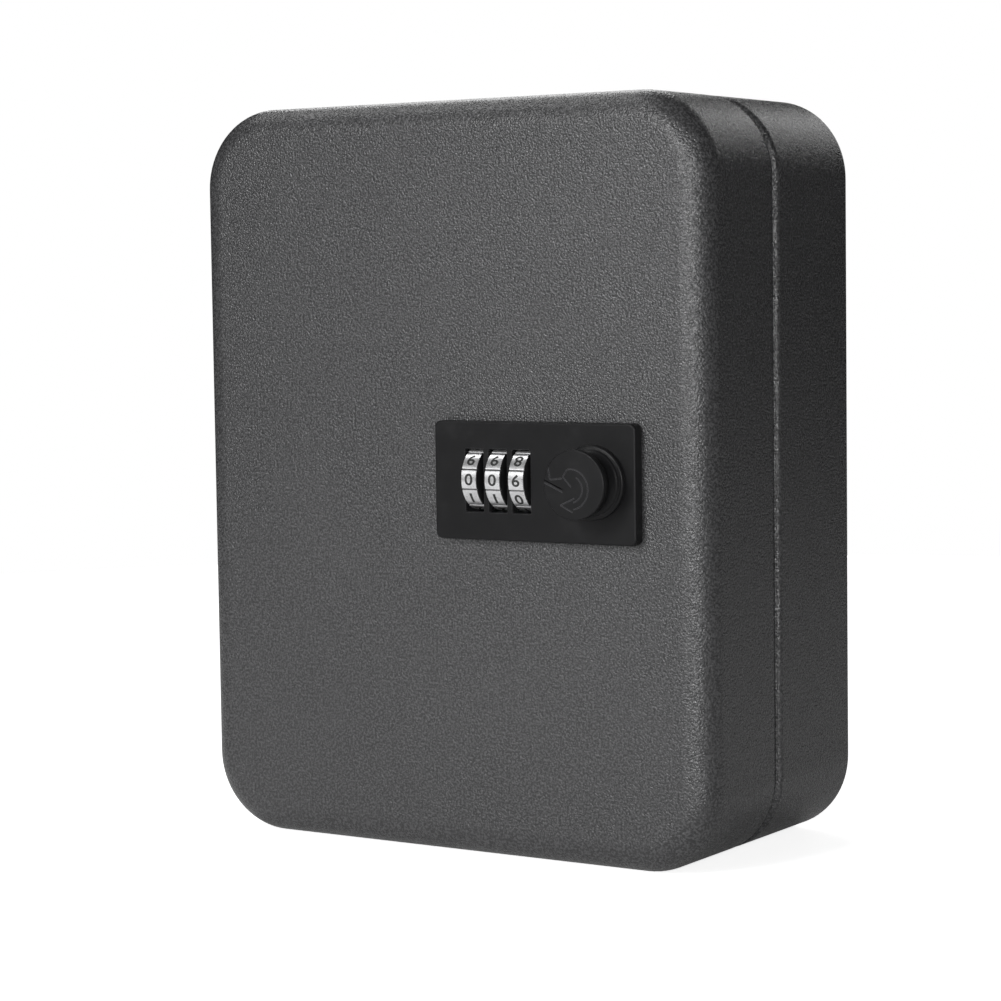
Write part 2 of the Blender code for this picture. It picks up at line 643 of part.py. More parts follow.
def lock_screws(surface, place):
    """Four clamp screws and four cover screws."""
    clamp_length = CLAMP_BACK_Y + FIT_GAP - BEZEL_FRONT_Y - BEZEL_FACE - FIT_GAP
    for i, (x, z) in enumerate(clamp_screw_spots()):
        at = (x, CLAMP_BACK_Y + FIT_GAP, z)
        small_screw(f"clamp_screw_{i + 1}", surface, place, at, clamp_length)
    for i, (x, z) in enumerate(cover_screw_spots()):
        at = (x, COVER_BACK_Y + FIT_GAP, z)
        small_screw(f"cover_screw_{i + 1}", surface, place, at, COVER_SCREW_LENGTH)


def wheel_outline():
    """Ten raised faces with a groove between each two, one face toward -Y."""
    points = []
    for digit in range(DIGITS):
        middle = 180 + digit * 360 / DIGITS
        for offset, drop in ((-18, WHEEL_GROOVE), (-14.5, 0), (-7, 0), (0, 0), (7, 0), (14.5, 0)):
            points += arc((0, 0), WHEEL_R - drop, middle + offset, middle + offset, 1)[:1]
    return points


def drive_ring():
    """The outline of ten notches around the wheel's bore."""
    points = []
    low = SLEEVE_R + RUN_GAP / 2
    high = GATE_R + RUN_GAP
    for notch in range(DIGITS):
        middle = notch * 360 / DIGITS
        for radius, offset in ((low, -12), (high, -10), (high, 10), (low, 12)):
            points += arc((0, 0), radius, middle + offset, middle + offset, 1)[:1]
    return points


def digit_wheel(index, surface, place):
    """A digit wheel, its origin on the axle."""
    half = WHEEL_WIDTH / 2
    mesh = bmesh.new()
    add_slab(mesh, "X", wheel_outline(), [circle((0, 0), WHEEL_BORE_R, 20)], -half, half)
    made = solid(f"digit_wheel_{index + 1}", mesh, surface, place, (wheel_x(index), AXLE_Y, 0))
    tool = bmesh.new()
    start = half - TOOTH_LENGTH - FIT_GAP
    add_slab(tool, "X", drive_ring(), [], start, half + SHEET)
    carve(made, tool)
    return made


def clutch_sleeve(index, surface, place):
    """The sleeve inside a wheel: its tooth drives it, its disc has the gate notch."""
    bore = AXLE_R + FIT_GAP
    mesh = bmesh.new()
    add_ring(mesh, "X", [(bore, SLEEVE_LEFT), (SLEEVE_R, SLEEVE_LEFT), (SLEEVE_R, GATE_X),
                         (GATE_R, GATE_X), (GATE_R, SLEEVE_RIGHT), (bore, SLEEVE_RIGHT)], 20)
    made = solid(f"clutch_sleeve_{index + 1}", mesh, surface, place, (wheel_x(index), AXLE_Y, 0))
    tooth = bmesh.new()
    tooth_start = WHEEL_WIDTH / 2 - TOOTH_LENGTH
    add_box(tooth, (tooth_start, -GATE_R + RUN_GAP / 4, -TOOTH_HALF_WIDTH),
            (GATE_X + GATE_SHEET / 2, -SLEEVE_R + RUN_GAP, TOOTH_HALF_WIDTH))
    carve(made, tooth, "UNION")
    notch = bmesh.new()
    add_box(notch, (GATE_X - RUN_GAP / 2, SLEEVE_R + RUN_GAP / 2, -GATE_NOTCH),
            (GATE_X + GATE_SHEET + RUN_GAP / 2, GATE_R + SHEET, GATE_NOTCH))
    carve(made, notch)
    return made


def wheel_axle(surface, place):
    """The axle, held by the case's left wall and by the partition."""
    mesh = bmesh.new()
    low = -CASE_HALF_W + CASE_WALL / 4
    high = PARTITION_X + 0.75 * PARTITION
    add_slab(mesh, "X", circle((AXLE_Y, 0), AXLE_R, 16), [], low, high)
    return solid("wheel_axle", mesh, surface, place)


def sleeve_spring(surface, place):
    """The coil spring at the end of the sleeves, drawn at its compressed length."""
    last_sleeve = wheel_x(WHEELS - 1) + SLEEVE_RIGHT
    start = last_sleeve + RESET_TRAVEL + FIT_GAP + SPRING_WIRE_R
    end = PARTITION_X - FIT_GAP - SPRING_WIRE_R
    coil_r = AXLE_R + FIT_GAP + 2 * SPRING_WIRE_R
    steps = SPRING_TURNS * 10
    mesh = bmesh.new()
    rings = []
    for i in range(steps + 1):
        turn = math.radians(360 * SPRING_TURNS * i / steps)
        x = start + (end - start) * i / steps
        ring = []
        for across, along in circle((coil_r, x), SPRING_WIRE_R, 5):
            ring.append(mesh.verts.new((along, across * math.cos(turn), across * math.sin(turn))))
        rings.append(ring)
    for first, second in zip(rings, rings[1:]):
        bridge(mesh, first, second)
    mesh.faces.new(rings[0])
    mesh.faces.new(rings[-1])
    return solid("sleeve_spring", mesh, surface, place, (0, AXLE_Y, 0))


def detent_spring(surface, place):
    """A leaf spring with one finger over each wheel, fixed under the case's roof."""
    roof = CASE_HALF_H - CASE_WALL - FIT_GAP
    low = roof - DETENT_SHEET
    back = (FENCE_FRONT_Y, CASE_BACK_Y - CASE_WALL)
    ends = (wheel_x(0) - WHEEL_WIDTH / 2, wheel_x(WHEELS - 1) + WHEEL_WIDTH / 2)
    mesh = bmesh.new()
    add_box(mesh, (ends[0], back[0], low), (ends[1], back[1], roof))
    made = solid("detent_spring", mesh, surface, place)
    dip = WHEEL_R + FIT_GAP + DETENT_SHEET / 2
    flat = (low + roof) / 2
    path = [(back[0] + 2 * SHEET, flat), (AXLE_Y + 2 * SHEET, flat), (AXLE_Y, dip),
            (AXLE_Y - SHEET, flat)]
    outline = ribbon(path, DETENT_SHEET * 0.96, DETENT_SHEET)
    tool = bmesh.new()
    for i in range(WHEELS):
        add_slab(tool, "X", outline, [], wheel_x(i) - 1.5 * SHEET, wheel_x(i) + 1.5 * SHEET)
    carve(made, tool, "UNION")
    return made


def fence_slider(surface, place):
    """The locking bar: three teeth toward the gate discs and a nose toward the collar."""
    tooth_front = AXLE_Y + GATE_R + RUN_GAP
    back = FENCE_FRONT_Y + FENCE_SHEET
    left = wheel_x(0) + WHEEL_WIDTH / 2
    nose = SPINDLE_X - COLLAR_R - RUN_GAP
    points = [(left - SHEET, back), (left - SHEET, FENCE_FRONT_Y)]
    for i in range(WHEELS):
        x = wheel_x(i) + GATE_X
        points += [(x, FENCE_FRONT_Y), (x, tooth_front), (x + GATE_SHEET, tooth_front),
                   (x + GATE_SHEET, FENCE_FRONT_Y)]
    points += [(nose, FENCE_FRONT_Y), (nose, back)]
    mesh = bmesh.new()
    add_slab(mesh, "Z", points, [], -FENCE_HALF_HEIGHT, FENCE_HALF_HEIGHT)
    return solid("fence_slider", mesh, surface, place)


def reset_lever(surface, place):
    """A forked arm that pushes the sleeves along the axle, with a thumb tab outside."""
    fork = AXLE_R + FIT_GAP
    front = CASE_FRONT_Y + FIT_GAP
    tab = COVER_BACK_Y + RUN_GAP
    outline = [(front, fork), (AXLE_Y, fork)]
    outline += arc((AXLE_Y, 0), fork, 90, -90, 6)[1:-1]
    outline += [(AXLE_Y, -fork), (front, -fork), (front, -ARM_HALF_HEIGHT),
                (tab + ARM_SHEET, -ARM_HALF_HEIGHT), (tab + ARM_SHEET, ARM_HALF_HEIGHT),
                (front, ARM_HALF_HEIGHT)]
    mesh = bmesh.new()
    add_slab(mesh, "X", outline, [], 0, ARM_SHEET)
    made = solid("reset_lever", mesh, surface, place, (arm_x(), 0, 0))
    thumb = bmesh.new()
    add_box(thumb, (-2 * SHEET, tab, -0.8 * ARM_HALF_HEIGHT),
            (ARM_SHEET + 2 * SHEET, tab + ARM_SHEET, 0.8 * ARM_HALF_HEIGHT))
    carve(made, thumb, "UNION")
    return made


def knob(surface, place):
    """The turning knob: base flange, waisted neck and a broad flat face."""
    base = BEZEL_FRONT_Y - FIT_GAP
    face = BEZEL_FRONT_Y - KNOB_LENGTH
    sink = base - SPINDLE_SINK - FIT_GAP
    profile = [(0, sink), (SPINDLE_R + FIT_GAP, sink), (SPINDLE_R + FIT_GAP, base),
               (KNOB_BASE_R, base), (KNOB_BASE_R, base - 1.0 * MM),
               (KNOB_BASE_R - 0.5 * MM, base - 1.4 * MM), (KNOB_NECK_R + 0.4 * MM, base - 2.4 * MM),
               (KNOB_NECK_R, base - 4.2 * MM), (KNOB_NECK_R + 0.4 * MM, face + 3.0 * MM),
               (KNOB_R, face + 1.5 * MM), (KNOB_R, face + 0.5 * MM),
               (KNOB_R - 0.5 * MM, face), (0, face)]
    mesh = bmesh.new()
    add_turned(mesh, "Y", profile, 32)
    return solid("knob", mesh, surface, place)


def spindle(surface, place):
    """The spindle: round through the lock, a notched collar, a square end for the cam."""
    top = BEZEL_FRONT_Y - FIT_GAP - SPINDLE_SINK
    collar = (FENCE_FRONT_Y, FENCE_FRONT_Y + FENCE_SHEET)
    shoulder = CAM_FRONT_Y - FIT_GAP
    mesh = bmesh.new()
    add_turned(mesh, "Y", [(0, top), (SPINDLE_R, top), (SPINDLE_R, collar[0]),
                           (COLLAR_R, collar[0]), (COLLAR_R, collar[1]), (SPINDLE_R, collar[1]),
                           (SPINDLE_R, shoulder), (0, shoulder)], 28)
    made = solid("spindle", mesh, surface, place)
    square = bmesh.new()
    add_box(square, (-SQUARE_HALF, COVER_BACK_Y + RUN_GAP, -SQUARE_HALF),
            (SQUARE_HALF, CAM_BACK_Y + FIT_GAP / 2, SQUARE_HALF))
    carve(made, square, "UNION")
    cuts = bmesh.new()
    depth = CAM_BACK_Y - CAM_SCREW_LENGTH
    add_slab(cuts, "Y", circle((0, 0), CAM_SCREW_R + FIT_GAP, 14), [], depth, CAM_BACK_Y + SHEET)
    add_box(cuts, (-COLLAR_R - SHEET, collar[0] - SHEET, -FENCE_HALF_HEIGHT - RUN_GAP),
            (-SPINDLE_R - SHEET, collar[1] + SHEET, FENCE_HALF_HEIGHT + RUN_GAP))
    carve(made, cuts)
    return made


def latch_cam(surface, place):
    """The cam: a round hub with a square hole and an arm that points up when unlocked."""
    half = SQUARE_HALF + FIT_GAP
    join = math.degrees(math.acos(CAM_HALF_WIDTH / CAM_HUB_R))
    outline = arc((0, 0), CAM_HUB_R, 180 - join, 360 + join, 20)
    outline += rounded(CAM_HALF_WIDTH, CAM_LENGTH, 2.5 * MM, 4)[:10]
    mesh = bmesh.new()
    add_slab(mesh, "Y", outline, [[(-half, -half), (half, -half), (half, half), (-half, half)]],
             CAM_FRONT_Y, CAM_BACK_Y)
    return solid("latch_cam", mesh, surface, place)


def cam_washer(surface, place):
    """The washer between the cam and its screw."""
    front = CAM_BACK_Y + FIT_GAP / 2 + FIT_GAP
    bore = CAM_SCREW_R + FIT_GAP
    mesh = bmesh.new()
    add_ring(mesh, "Y", [(bore, front), (WASHER_R, front), (WASHER_R, front + WASHER_SHEET),
                         (bore, front + WASHER_SHEET)], 18)
    return solid("cam_washer", mesh, surface, place)


def cam_screw(surface, place):
    """The hexagon screw that holds the cam on the spindle."""
    under = CAM_BACK_Y + 2.5 * FIT_GAP + WASHER_SHEET
    tip = CAM_BACK_Y - CAM_SCREW_LENGTH + FIT_GAP
    mesh = bmesh.new()
    add_slab(mesh, "Y", circle((0, 0), CAM_SCREW_HEAD_R, 6), [], under, under + CAM_SCREW_HEAD)
    made = solid("cam_screw", mesh, surface, place)
    shank = bmesh.new()
    add_slab(shank, "Y", circle((0, 0), CAM_SCREW_R, 14), [], tip, under + CAM_SCREW_HEAD / 2)
    carve(made, shank, "UNION")
    return made


# Materials

def materials():
    """The finishes of the box and of the lock."""
    return {
        "paint": material("anthracite_powder_coat", (0.085, 0.085, 0.088), 0.62, 0.0),
        "zinc": material("zinc_plated_steel", (0.55, 0.56, 0.57), 0.38, 1.0),
        "steel": material("plain_steel", (0.42, 0.42, 0.43), 0.32, 1.0),
        "black": material("satin_black_zinc_alloy", (0.02, 0.02, 0.021), 0.38, 0.0),
        "wheel": material("wheel_black_with_silver_faces", (0.45, 0.45, 0.46), 0.3, 0.6),
        "brass": material("sleeve_brass", (0.62, 0.45, 0.2), 0.35, 1.0),
        "spring": material("spring_steel", (0.35, 0.35, 0.36), 0.28, 1.0),
    }


def build_box(finish, door):
    """The cabinet, the door, the hinge and the hook strips."""
    cabinet_shell(finish["paint"])
    door_shell(finish["paint"], door)
    hinge = spot("hinge_axis", None, (-HALF_W, HINGE_Y, 0))
    hinge_leaf("hinge_leaf_cabinet", finish["steel"], hinge, 1, range(0, HINGE_KNUCKLES, 2))
    hinge_leaf("hinge_leaf_door", finish["steel"], door, -1, range(1, HINGE_KNUCKLES, 2))
    hinge_pin(finish["steel"], hinge)
    back_strips(finish["zinc"])
    door_strips(finish["zinc"], door)
    strike_plate(finish["zinc"])


def build_lock(finish, lock):
    """The lock's fixed pieces, its wheels, its clutch and its reset lever."""
    lock_bezel(finish["black"], lock)
    lock_case(finish["zinc"], lock)
    lock_cover(finish["zinc"], lock)
    clamp_frame(finish["zinc"], lock)
    lock_screws(finish["steel"], lock)
    for i in range(WHEELS):
        digit_wheel(i, finish["wheel"], lock)
        clutch_sleeve(i, finish["brass"], lock)
    wheel_axle(finish["steel"], lock)
    sleeve_spring(finish["spring"], lock)
    detent_spring(finish["spring"], lock)
    fence_slider(finish["zinc"], lock)
    reset_lever(finish["zinc"], lock)


def build_knob(finish, turn):
    """The knob and what turns with it."""
    knob(finish["black"], turn)
    spindle(finish["steel"], turn)
    latch_cam(finish["zinc"], turn)
    cam_washer(finish["steel"], turn)
    cam_screw(finish["steel"], turn)


def main():
    """Clear the scene and build the lock box."""
    for item in list(bpy.data.objects):
        bpy.data.objects.remove(item)
    finish = materials()
    door = spot("door_axis", None, (-HALF_W, HINGE_Y, 0))
    lock = spot("lock_centre", door, (LOCK_SPOT[0] + HALF_W, LOCK_SPOT[1] - HINGE_Y, LOCK_SPOT[2]))
    turn = spot("knob_axis", lock, (SPINDLE_X, 0, 0))
    build_box(finish, door)
    build_lock(finish, lock)
    build_knob(finish, turn)


main()
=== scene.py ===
"""Looks of a wall-mounted key lock box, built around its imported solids."""

import json
import math

import bmesh
import bpy
from bpy.props import FloatProperty, FloatVectorProperty, IntProperty, PointerProperty
from mathutils import Matrix, Vector


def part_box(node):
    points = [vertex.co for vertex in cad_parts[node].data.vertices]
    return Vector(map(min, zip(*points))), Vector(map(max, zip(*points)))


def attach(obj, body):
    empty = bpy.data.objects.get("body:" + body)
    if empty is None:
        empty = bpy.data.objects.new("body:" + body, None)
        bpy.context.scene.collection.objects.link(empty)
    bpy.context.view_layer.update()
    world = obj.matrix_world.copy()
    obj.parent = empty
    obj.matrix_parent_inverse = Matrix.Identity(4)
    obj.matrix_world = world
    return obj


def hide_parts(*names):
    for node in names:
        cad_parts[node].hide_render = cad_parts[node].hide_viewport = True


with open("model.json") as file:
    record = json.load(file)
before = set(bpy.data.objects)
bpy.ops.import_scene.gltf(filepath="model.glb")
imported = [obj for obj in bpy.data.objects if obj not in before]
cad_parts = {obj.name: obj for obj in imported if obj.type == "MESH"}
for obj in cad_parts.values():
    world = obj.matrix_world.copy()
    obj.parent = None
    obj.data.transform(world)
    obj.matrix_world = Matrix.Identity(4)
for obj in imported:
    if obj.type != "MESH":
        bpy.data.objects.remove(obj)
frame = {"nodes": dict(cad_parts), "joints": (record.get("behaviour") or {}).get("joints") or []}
NODES = frame["nodes"]

bl_info = {
    "name": "Key Lock Box",
    "version": (1, 0, 0),
    "blender": (4, 5, 0),
    "location": "View3D > Sidebar > Key Box",
    "description": "Builds a key lock box with a combination lock, a hinged door and key hooks",
    "category": "Add Mesh",
}

MM = 0.001


# Places that the frame gives

def low(node):
    """The lowest corner of a solid."""
    return Vector(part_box(node)[0])


def high(node):
    """The highest corner of a solid."""
    return Vector(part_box(node)[1])


def middle(node):
    """The centre of a solid's box."""
    return (low(node) + high(node)) / 2


def span(node):
    """The size of a solid's box."""
    return high(node) - low(node)


def spot_of(node):
    """The x and z of a solid's centre."""
    return middle(node).x, middle(node).z


BOX_LOW = low("cabinet_shell")
BOX_HIGH = high("cabinet_shell")
FRONT_Y = low("door_shell").y
DOOR_RIM_Y = high("door_shell").y
SEAM_AXIS = Vector(next(j["pos_m"] for j in frame["joints"] if j["name"] == "door_hinge"))
KNOB_AXIS = Vector(next(j["pos_m"] for j in frame["joints"] if j["name"] == "knob_turn"))
KNOB_SPOT = (KNOB_AXIS.x, KNOB_AXIS.z)
WHEEL_NAMES = [f"digit_wheel_{i}" for i in (1, 2, 3)]
COVER_SCREWS = [f"cover_screw_{i}" for i in (1, 2, 3, 4)]
CLAMP_SCREWS = [f"clamp_screw_{i}" for i in (1, 2, 3, 4)]

WALL_HOLE_SIDE = 24 * MM    # from each side
WALL_HOLE_END = 27 * MM     # from the top and the bottom
WALL_HOLE_R = 3 * MM
HINGE_KNUCKLES = 7
KNUCKLE_CLEAR = 0.4 * MM
KNOB_BORE_R = 4.4 * MM
DIGITS = 10
DIGIT_TURN = 36             # degrees from one digit to the next
DIGITS_SHOWN = (0, 0, 9)


# Settings

def length(label, note, value):
    """A size in metres with a name and a note."""
    return FloatProperty(name=label, description=note, default=value, min=0, unit="LENGTH",
                         precision=5)


def tint(label, note, value):
    """A colour with a name and a note."""
    return FloatVectorProperty(name=label, description=note, default=value, subtype="COLOR",
                               size=3, min=0, max=1)


def share(label, note, value):
    """A number from 0 to 1."""
    return FloatProperty(name=label, description=note, default=value, min=0, max=1)


def amount(label, note, value, **more):
    """A plain number with a name and a note."""
    return FloatProperty(name=label, description=note, default=value, **more)


def angle(label, note, degrees):
    """An angle with a name and a note."""
    return amount(label, note, math.radians(degrees), subtype="ANGLE")


class BoxSizes(bpy.types.PropertyGroup):
    """Sizes of the sheet-metal box."""
    sheet: length("Sheet", "Thickness of the box's steel sheet", 1.0 * MM)
    corner: length("Corner radius", "Radius of the four corners seen from the front", 21.5 * MM)
    front_round: length("Front rounding", "Radius of the door's front edge", 8.0 * MM)
    back_round: length("Back rounding", "Radius of the cabinet's back edge", 1.5 * MM)
    rim_round: length("Rim rounding", "Radius of the sheet's cut edges", 0.35 * MM)
    fold_round: length("Fold rounding", "Radius of the fold where the lip steps in", 1.4 * MM)
    lip_inset: length("Lip inset", "From the outside to the cabinet's stepped-in lip", 1.5 * MM)
    lock_gap: length("Cut-out gap", "Between the lock case and its cut-out", 0.4 * MM)


class HookSizes(bpy.types.PropertyGroup):
    """Sizes of the hook strips."""
    width: length("Hook width", "Width of one hook", 3.0 * MM)
    sheet: length("Strip sheet", "Thickness of the strips", 1.0 * MM)
    end: length("Strip end", "From the strip's end to its first hook", 10 * MM)
    tip: length("Tip height", "Height of a hook's tip above its shank's underside", 5.0 * MM)
    bend: length("Bend radius", "Radius of a hook's bends", 1.6 * MM)
    full: IntProperty(name="Hooks per strip", description="Hooks on a full strip", default=7, min=2)
    short: IntProperty(name="Hooks on a short strip", description="Hooks beside the lock",
                       default=3, min=2)


class LockSizes(bpy.types.PropertyGroup):
    """Sizes of the lock's visible details."""
    bezel_edge: length("Bezel edge", "Rounding of the bezel's front edge", 0.6 * MM)
    bezel_corner: length("Bezel corner", "Corner radius of the bezel", 1.8 * MM)
    window_edge: length("Window edge", "Bevel around the wheel windows", 0.25 * MM)
    digit_height: length("Digit height", "Height of the digits", 3.1 * MM)
    digit_stretch: amount("Digit stretch", "Digits' widening", 1.22, min=0.5, max=2)
    engraving: length("Engraving", "Width of the lines cut into the knob", 0.24 * MM)


class Finishes(bpy.types.PropertyGroup):
    """Colours of the finishes."""
    coat: tint("Powder coat", "Anthracite powder coat of the box", (0.050, 0.050, 0.0515))
    coat_rough: share("Powder coat roughness", "Roughness of the powder coat", 0.27)
    black: tint("Lock black", "Satin black of the bezel and the knob", (0.010, 0.010, 0.0105))
    silver: tint("Wheel silver", "Silver faces of the wheels", (0.80, 0.80, 0.81))
    zinc: tint("Zinc plate", "Zinc plate on hooks and lock parts", (0.46, 0.47, 0.48))
    steel: tint("Steel", "Bare and nickel-plated steel", (0.50, 0.50, 0.51))
    brass: tint("Brass", "Brass of the sleeves", (0.62, 0.45, 0.20))


class StageSettings(bpy.types.PropertyGroup):
    """Camera, floor and lights."""
    yaw: angle("Yaw", "Camera's turn to the right of straight ahead", 33.03)
    pitch: angle("Pitch", "Camera's tilt downward", 4.41)
    roll: angle("Roll", "Camera's roll", -0.79)
    distance: length("Distance", "Camera to the point it looks at", 0.7867)
    aim: FloatVectorProperty(name="Aim", description="Point the camera looks at",
                             default=(-0.00735, -0.040, -0.00852), subtype="TRANSLATION")
    lens: amount("Lens", "Focal length in millimetres", 101.90)
    light: amount("Light", "Strength of all the softboxes", 1.0, min=0)
    floor_glow: amount("Floor glow", "Light that the floor shows to the camera", 0.8, min=0)
    room: amount("Room", "Brightness of the room all round", 0.02, min=0)


# Softboxes: name, turn from straight ahead and rise in degrees, side in metres, watts
SOFTBOXES = (
    ("front_softbox", -10, 25, 0.3, 7.1),
    ("left_front_softbox", -25, 20, 0.3, 0.9),
    ("low_front_softbox", -10, 5, 0.3, 2.9),
    ("right_front_softbox", 30, 5, 0.2, 8.1),
    ("right_softbox", 55, 5, 0.2, 0.5),
    ("left_softbox", -90, 60, 0.5, 3.4),
    ("left_rear_softbox", -145, 33, 0.5, 2.6),
    ("rear_softbox", 180, 25, 0.5, 1.3),
)

LOWEST_LIGHT = 0.17
LIGHT_DISTANCE = 1.3
FLOOR_RADIUS = 0.75

GROUPS = (("box", BoxSizes), ("hooks", HookSizes), ("lock", LockSizes),
          ("finishes", Finishes), ("stage", StageSettings))


class KeyBoxSettings(bpy.types.PropertyGroup):
    """All settings of the key box."""
    box: PointerProperty(type=BoxSizes)
    hooks: PointerProperty(type=HookSizes)
    lock: PointerProperty(type=LockSizes)
    finishes: PointerProperty(type=Finishes)
    stage: PointerProperty(type=StageSettings)


def settings():
    """The scene's key box settings."""
    return bpy.context.scene.key_box


# Shader nodes

class Signal:
    """A value in a material; arithmetic on it adds Math nodes."""

    def __init__(self, finish, socket):
        self.finish = finish
        self.socket = socket

    def math(self, operation, *others):
        """Combine this value with others in one Math node."""
        values = dict(enumerate((self, *others)))
        return self.finish.node("ShaderNodeMath", {"operation": operation}, values)

    def __add__(self, other):
        return self.math("ADD", other)

    __radd__ = __add__

    def __sub__(self, other):
        return self.math("SUBTRACT", other)

    def __rsub__(self, other):
        return self.finish.node("ShaderNodeMath", {"operation": "SUBTRACT"}, {0: other, 1: self})

    def __mul__(self, other):
        return self.math("MULTIPLY", other)

    __rmul__ = __mul__

    def between(self, start, end):
        """0 below start, 1 above end, smooth in between."""
        return self.finish.node("ShaderNodeMapRange", {"interpolation_type": "SMOOTHSTEP"},
                                {"Value": self, "From Min": start, "From Max": end})


class Tree:
    """A node tree under construction."""

    def __init__(self, tree):
        self.tree = tree

    def node(self, kind, choices, values, output=0):
        """Add a node: its settings first, then its sockets' values or links."""
        made = self.tree.nodes.new(kind)
        for key, value in choices.items():
            setattr(made, key, value)
        for key, value in values.items():
            self.feed(made.inputs[key], value)
        return Signal(self, made.outputs[output])

    def feed(self, socket, value):
        """Give a socket a value or a link."""
        if isinstance(value, Signal):
            self.tree.links.new(value.socket, socket)
        else:
            socket.default_value = value


class Finish(Tree):
    """A node material under construction."""

    def __init__(self, name):
        self.material = bpy.data.materials.new(name)
        self.material.use_nodes = True
        super().__init__(self.material.node_tree)
        self.shader = self.tree.nodes["Principled BSDF"]
        self.place = self.node("ShaderNodeTexCoord", {}, {}, "Object")

    def noise(self, size, detail=2.0, rough=0.5, place=None):
        """Noise with features about `size` across, from 0 to 1."""
        return self.node("ShaderNodeTexNoise", {},
                         {"Vector": place or self.place, "Scale": 1 / size, "Detail": detail,
                          "Roughness": rough})

    def cells(self, size, output="Distance"):
        """Distance to the nearest of scattered points about `size` apart."""
        return self.node("ShaderNodeTexVoronoi", {}, {"Vector": self.place, "Scale": 1 / size},
                         output)

    def stretched(self, factors):
        """The place, scaled differently along each axis."""
        return self.node("ShaderNodeVectorMath", {"operation": "MULTIPLY"},
                         {0: self.place, 1: factors})

    def blend(self, amount, first, second):
        """Mix two colours."""
        values = {0: amount, 6: colour4(first), 7: colour4(second)}
        return self.node("ShaderNodeMix", {"data_type": "RGBA"}, values, 2)

    def bump(self, height, distance, strength):
        """Bump from a height."""
        return self.node("ShaderNodeBump", {},
                         {"Height": height, "Distance": distance, "Strength": strength})

    def worn_edges(self, radius):
        """1 on sharp outer edges, 0 elsewhere, from the angle between two normals."""
        soft = self.node("ShaderNodeBevel", {"samples": 6}, {"Radius": radius})
        sharp = self.node("ShaderNodeNewGeometry", {}, {}, "Normal")
        facing = self.node("ShaderNodeVectorMath", {"operation": "DOT_PRODUCT"},
                           {0: soft, 1: sharp}, "Value")
        return (1 - facing).between(0.02, 0.2)

    def done(self, **sockets):
        """Set the shader's sockets and hand over the material."""
        for key, value in sockets.items():
            self.feed(self.shader.inputs[key.replace("_", " ")], value)
        return self.material


def colour4(value):
    """A colour with full alpha, or the signal itself."""
    return value if isinstance(value, Signal) else (*value[:3], 1.0)


def shade(colour, factor):
    """A colour made lighter or darker."""
    return tuple(min(1.0, part * factor) for part in colour)


def powder_coat():
    """Fine-textured anthracite powder coat."""
    finish = Finish("anthracite_powder_coat")
    look = settings().finishes
    grain = finish.noise(0.62 * MM, 2.0, 0.55)
    sand = finish.cells(0.55 * MM)
    cloud = finish.noise(38 * MM, 2.0)
    colour = finish.blend(grain.between(0.38, 0.68), shade(look.coat, 0.55), shade(look.coat, 1.4))
    colour = finish.blend((cloud - 0.4) * 0.25, colour, shade(look.coat, 1.35))
    height = grain * 1.0 + (1 - sand).between(0.2, 0.9) * 0.35
    rough = look.coat_rough + (grain - 0.5) * 0.2
    normal = finish.bump(height, 0.19 * MM, 1.0)
    return finish.done(Base_Color=colour, Roughness=rough, Normal=normal, IOR=1.5)


def lock_black():
    """Satin black coating on the lock's cast front parts, with a painted highlight on its edges."""
    finish = Finish("satin_black_lock")
    look = settings().finishes
    peel = finish.noise(0.9 * MM, 3.0, 0.6)
    smear = finish.noise(9 * MM, 3.0, 0.6)
    colour = finish.blend(smear.between(0.5, 0.8) * 0.6, look.black, shade(look.black, 1.7))
    # Painted highlight: sharp edges and rims are made much lighter, standing in for the light they
    # catch.
    painted_rim_highlight = finish.worn_edges(0.3 * MM)
    colour = finish.blend(painted_rim_highlight * 0.8, colour, shade(look.black, 9.0))
    rough = 0.38 + (smear - 0.5) * 0.24 + (peel - 0.5) * 0.1 - painted_rim_highlight * 0.08
    normal = finish.bump(peel, 0.05 * MM, 0.4)
    return finish.done(Base_Color=colour, Roughness=rough, Normal=normal, IOR=1.5,
                       Specular_IOR_Level=0.14)


def wheel_black():
    """Glossier black plastic of the wheels' sides."""
    finish = Finish("black_wheel_plastic")
    look = settings().finishes
    fine = finish.noise(0.5 * MM, 2.0)
    colour = finish.blend(fine, shade(look.black, 0.8), shade(look.black, 1.3))
    rough = 0.32 + (fine - 0.5) * 0.1
    return finish.done(Base_Color=colour, Roughness=rough)


def wheel_silver():
    """Silver foil on the wheels' faces."""
    finish = Finish("silver_wheel_foil")
    look = settings().finishes
    lines = finish.noise(0.25 * MM, 2.0, 0.5, finish.stretched((0.25, 1, 1)))
    cloud = finish.noise(1.6 * MM, 2.0)
    colour = finish.blend(cloud.between(0.35, 0.75), shade(look.silver, 0.86), look.silver)
    rough = 0.30 + (lines - 0.5) * 0.16
    normal = finish.bump(lines, 0.01 * MM, 0.3)
    return finish.done(Base_Color=colour, Roughness=rough, Metallic=0.85, Normal=normal)


def digit_ink():
    """Black ink of the digits."""
    finish = Finish("black_digit_ink")
    speck = finish.noise(0.2 * MM, 2.0)
    colour = finish.blend(speck, (0.008, 0.008, 0.008), (0.016, 0.016, 0.016))
    return finish.done(Base_Color=colour, Roughness=0.42 + speck * 0.1)


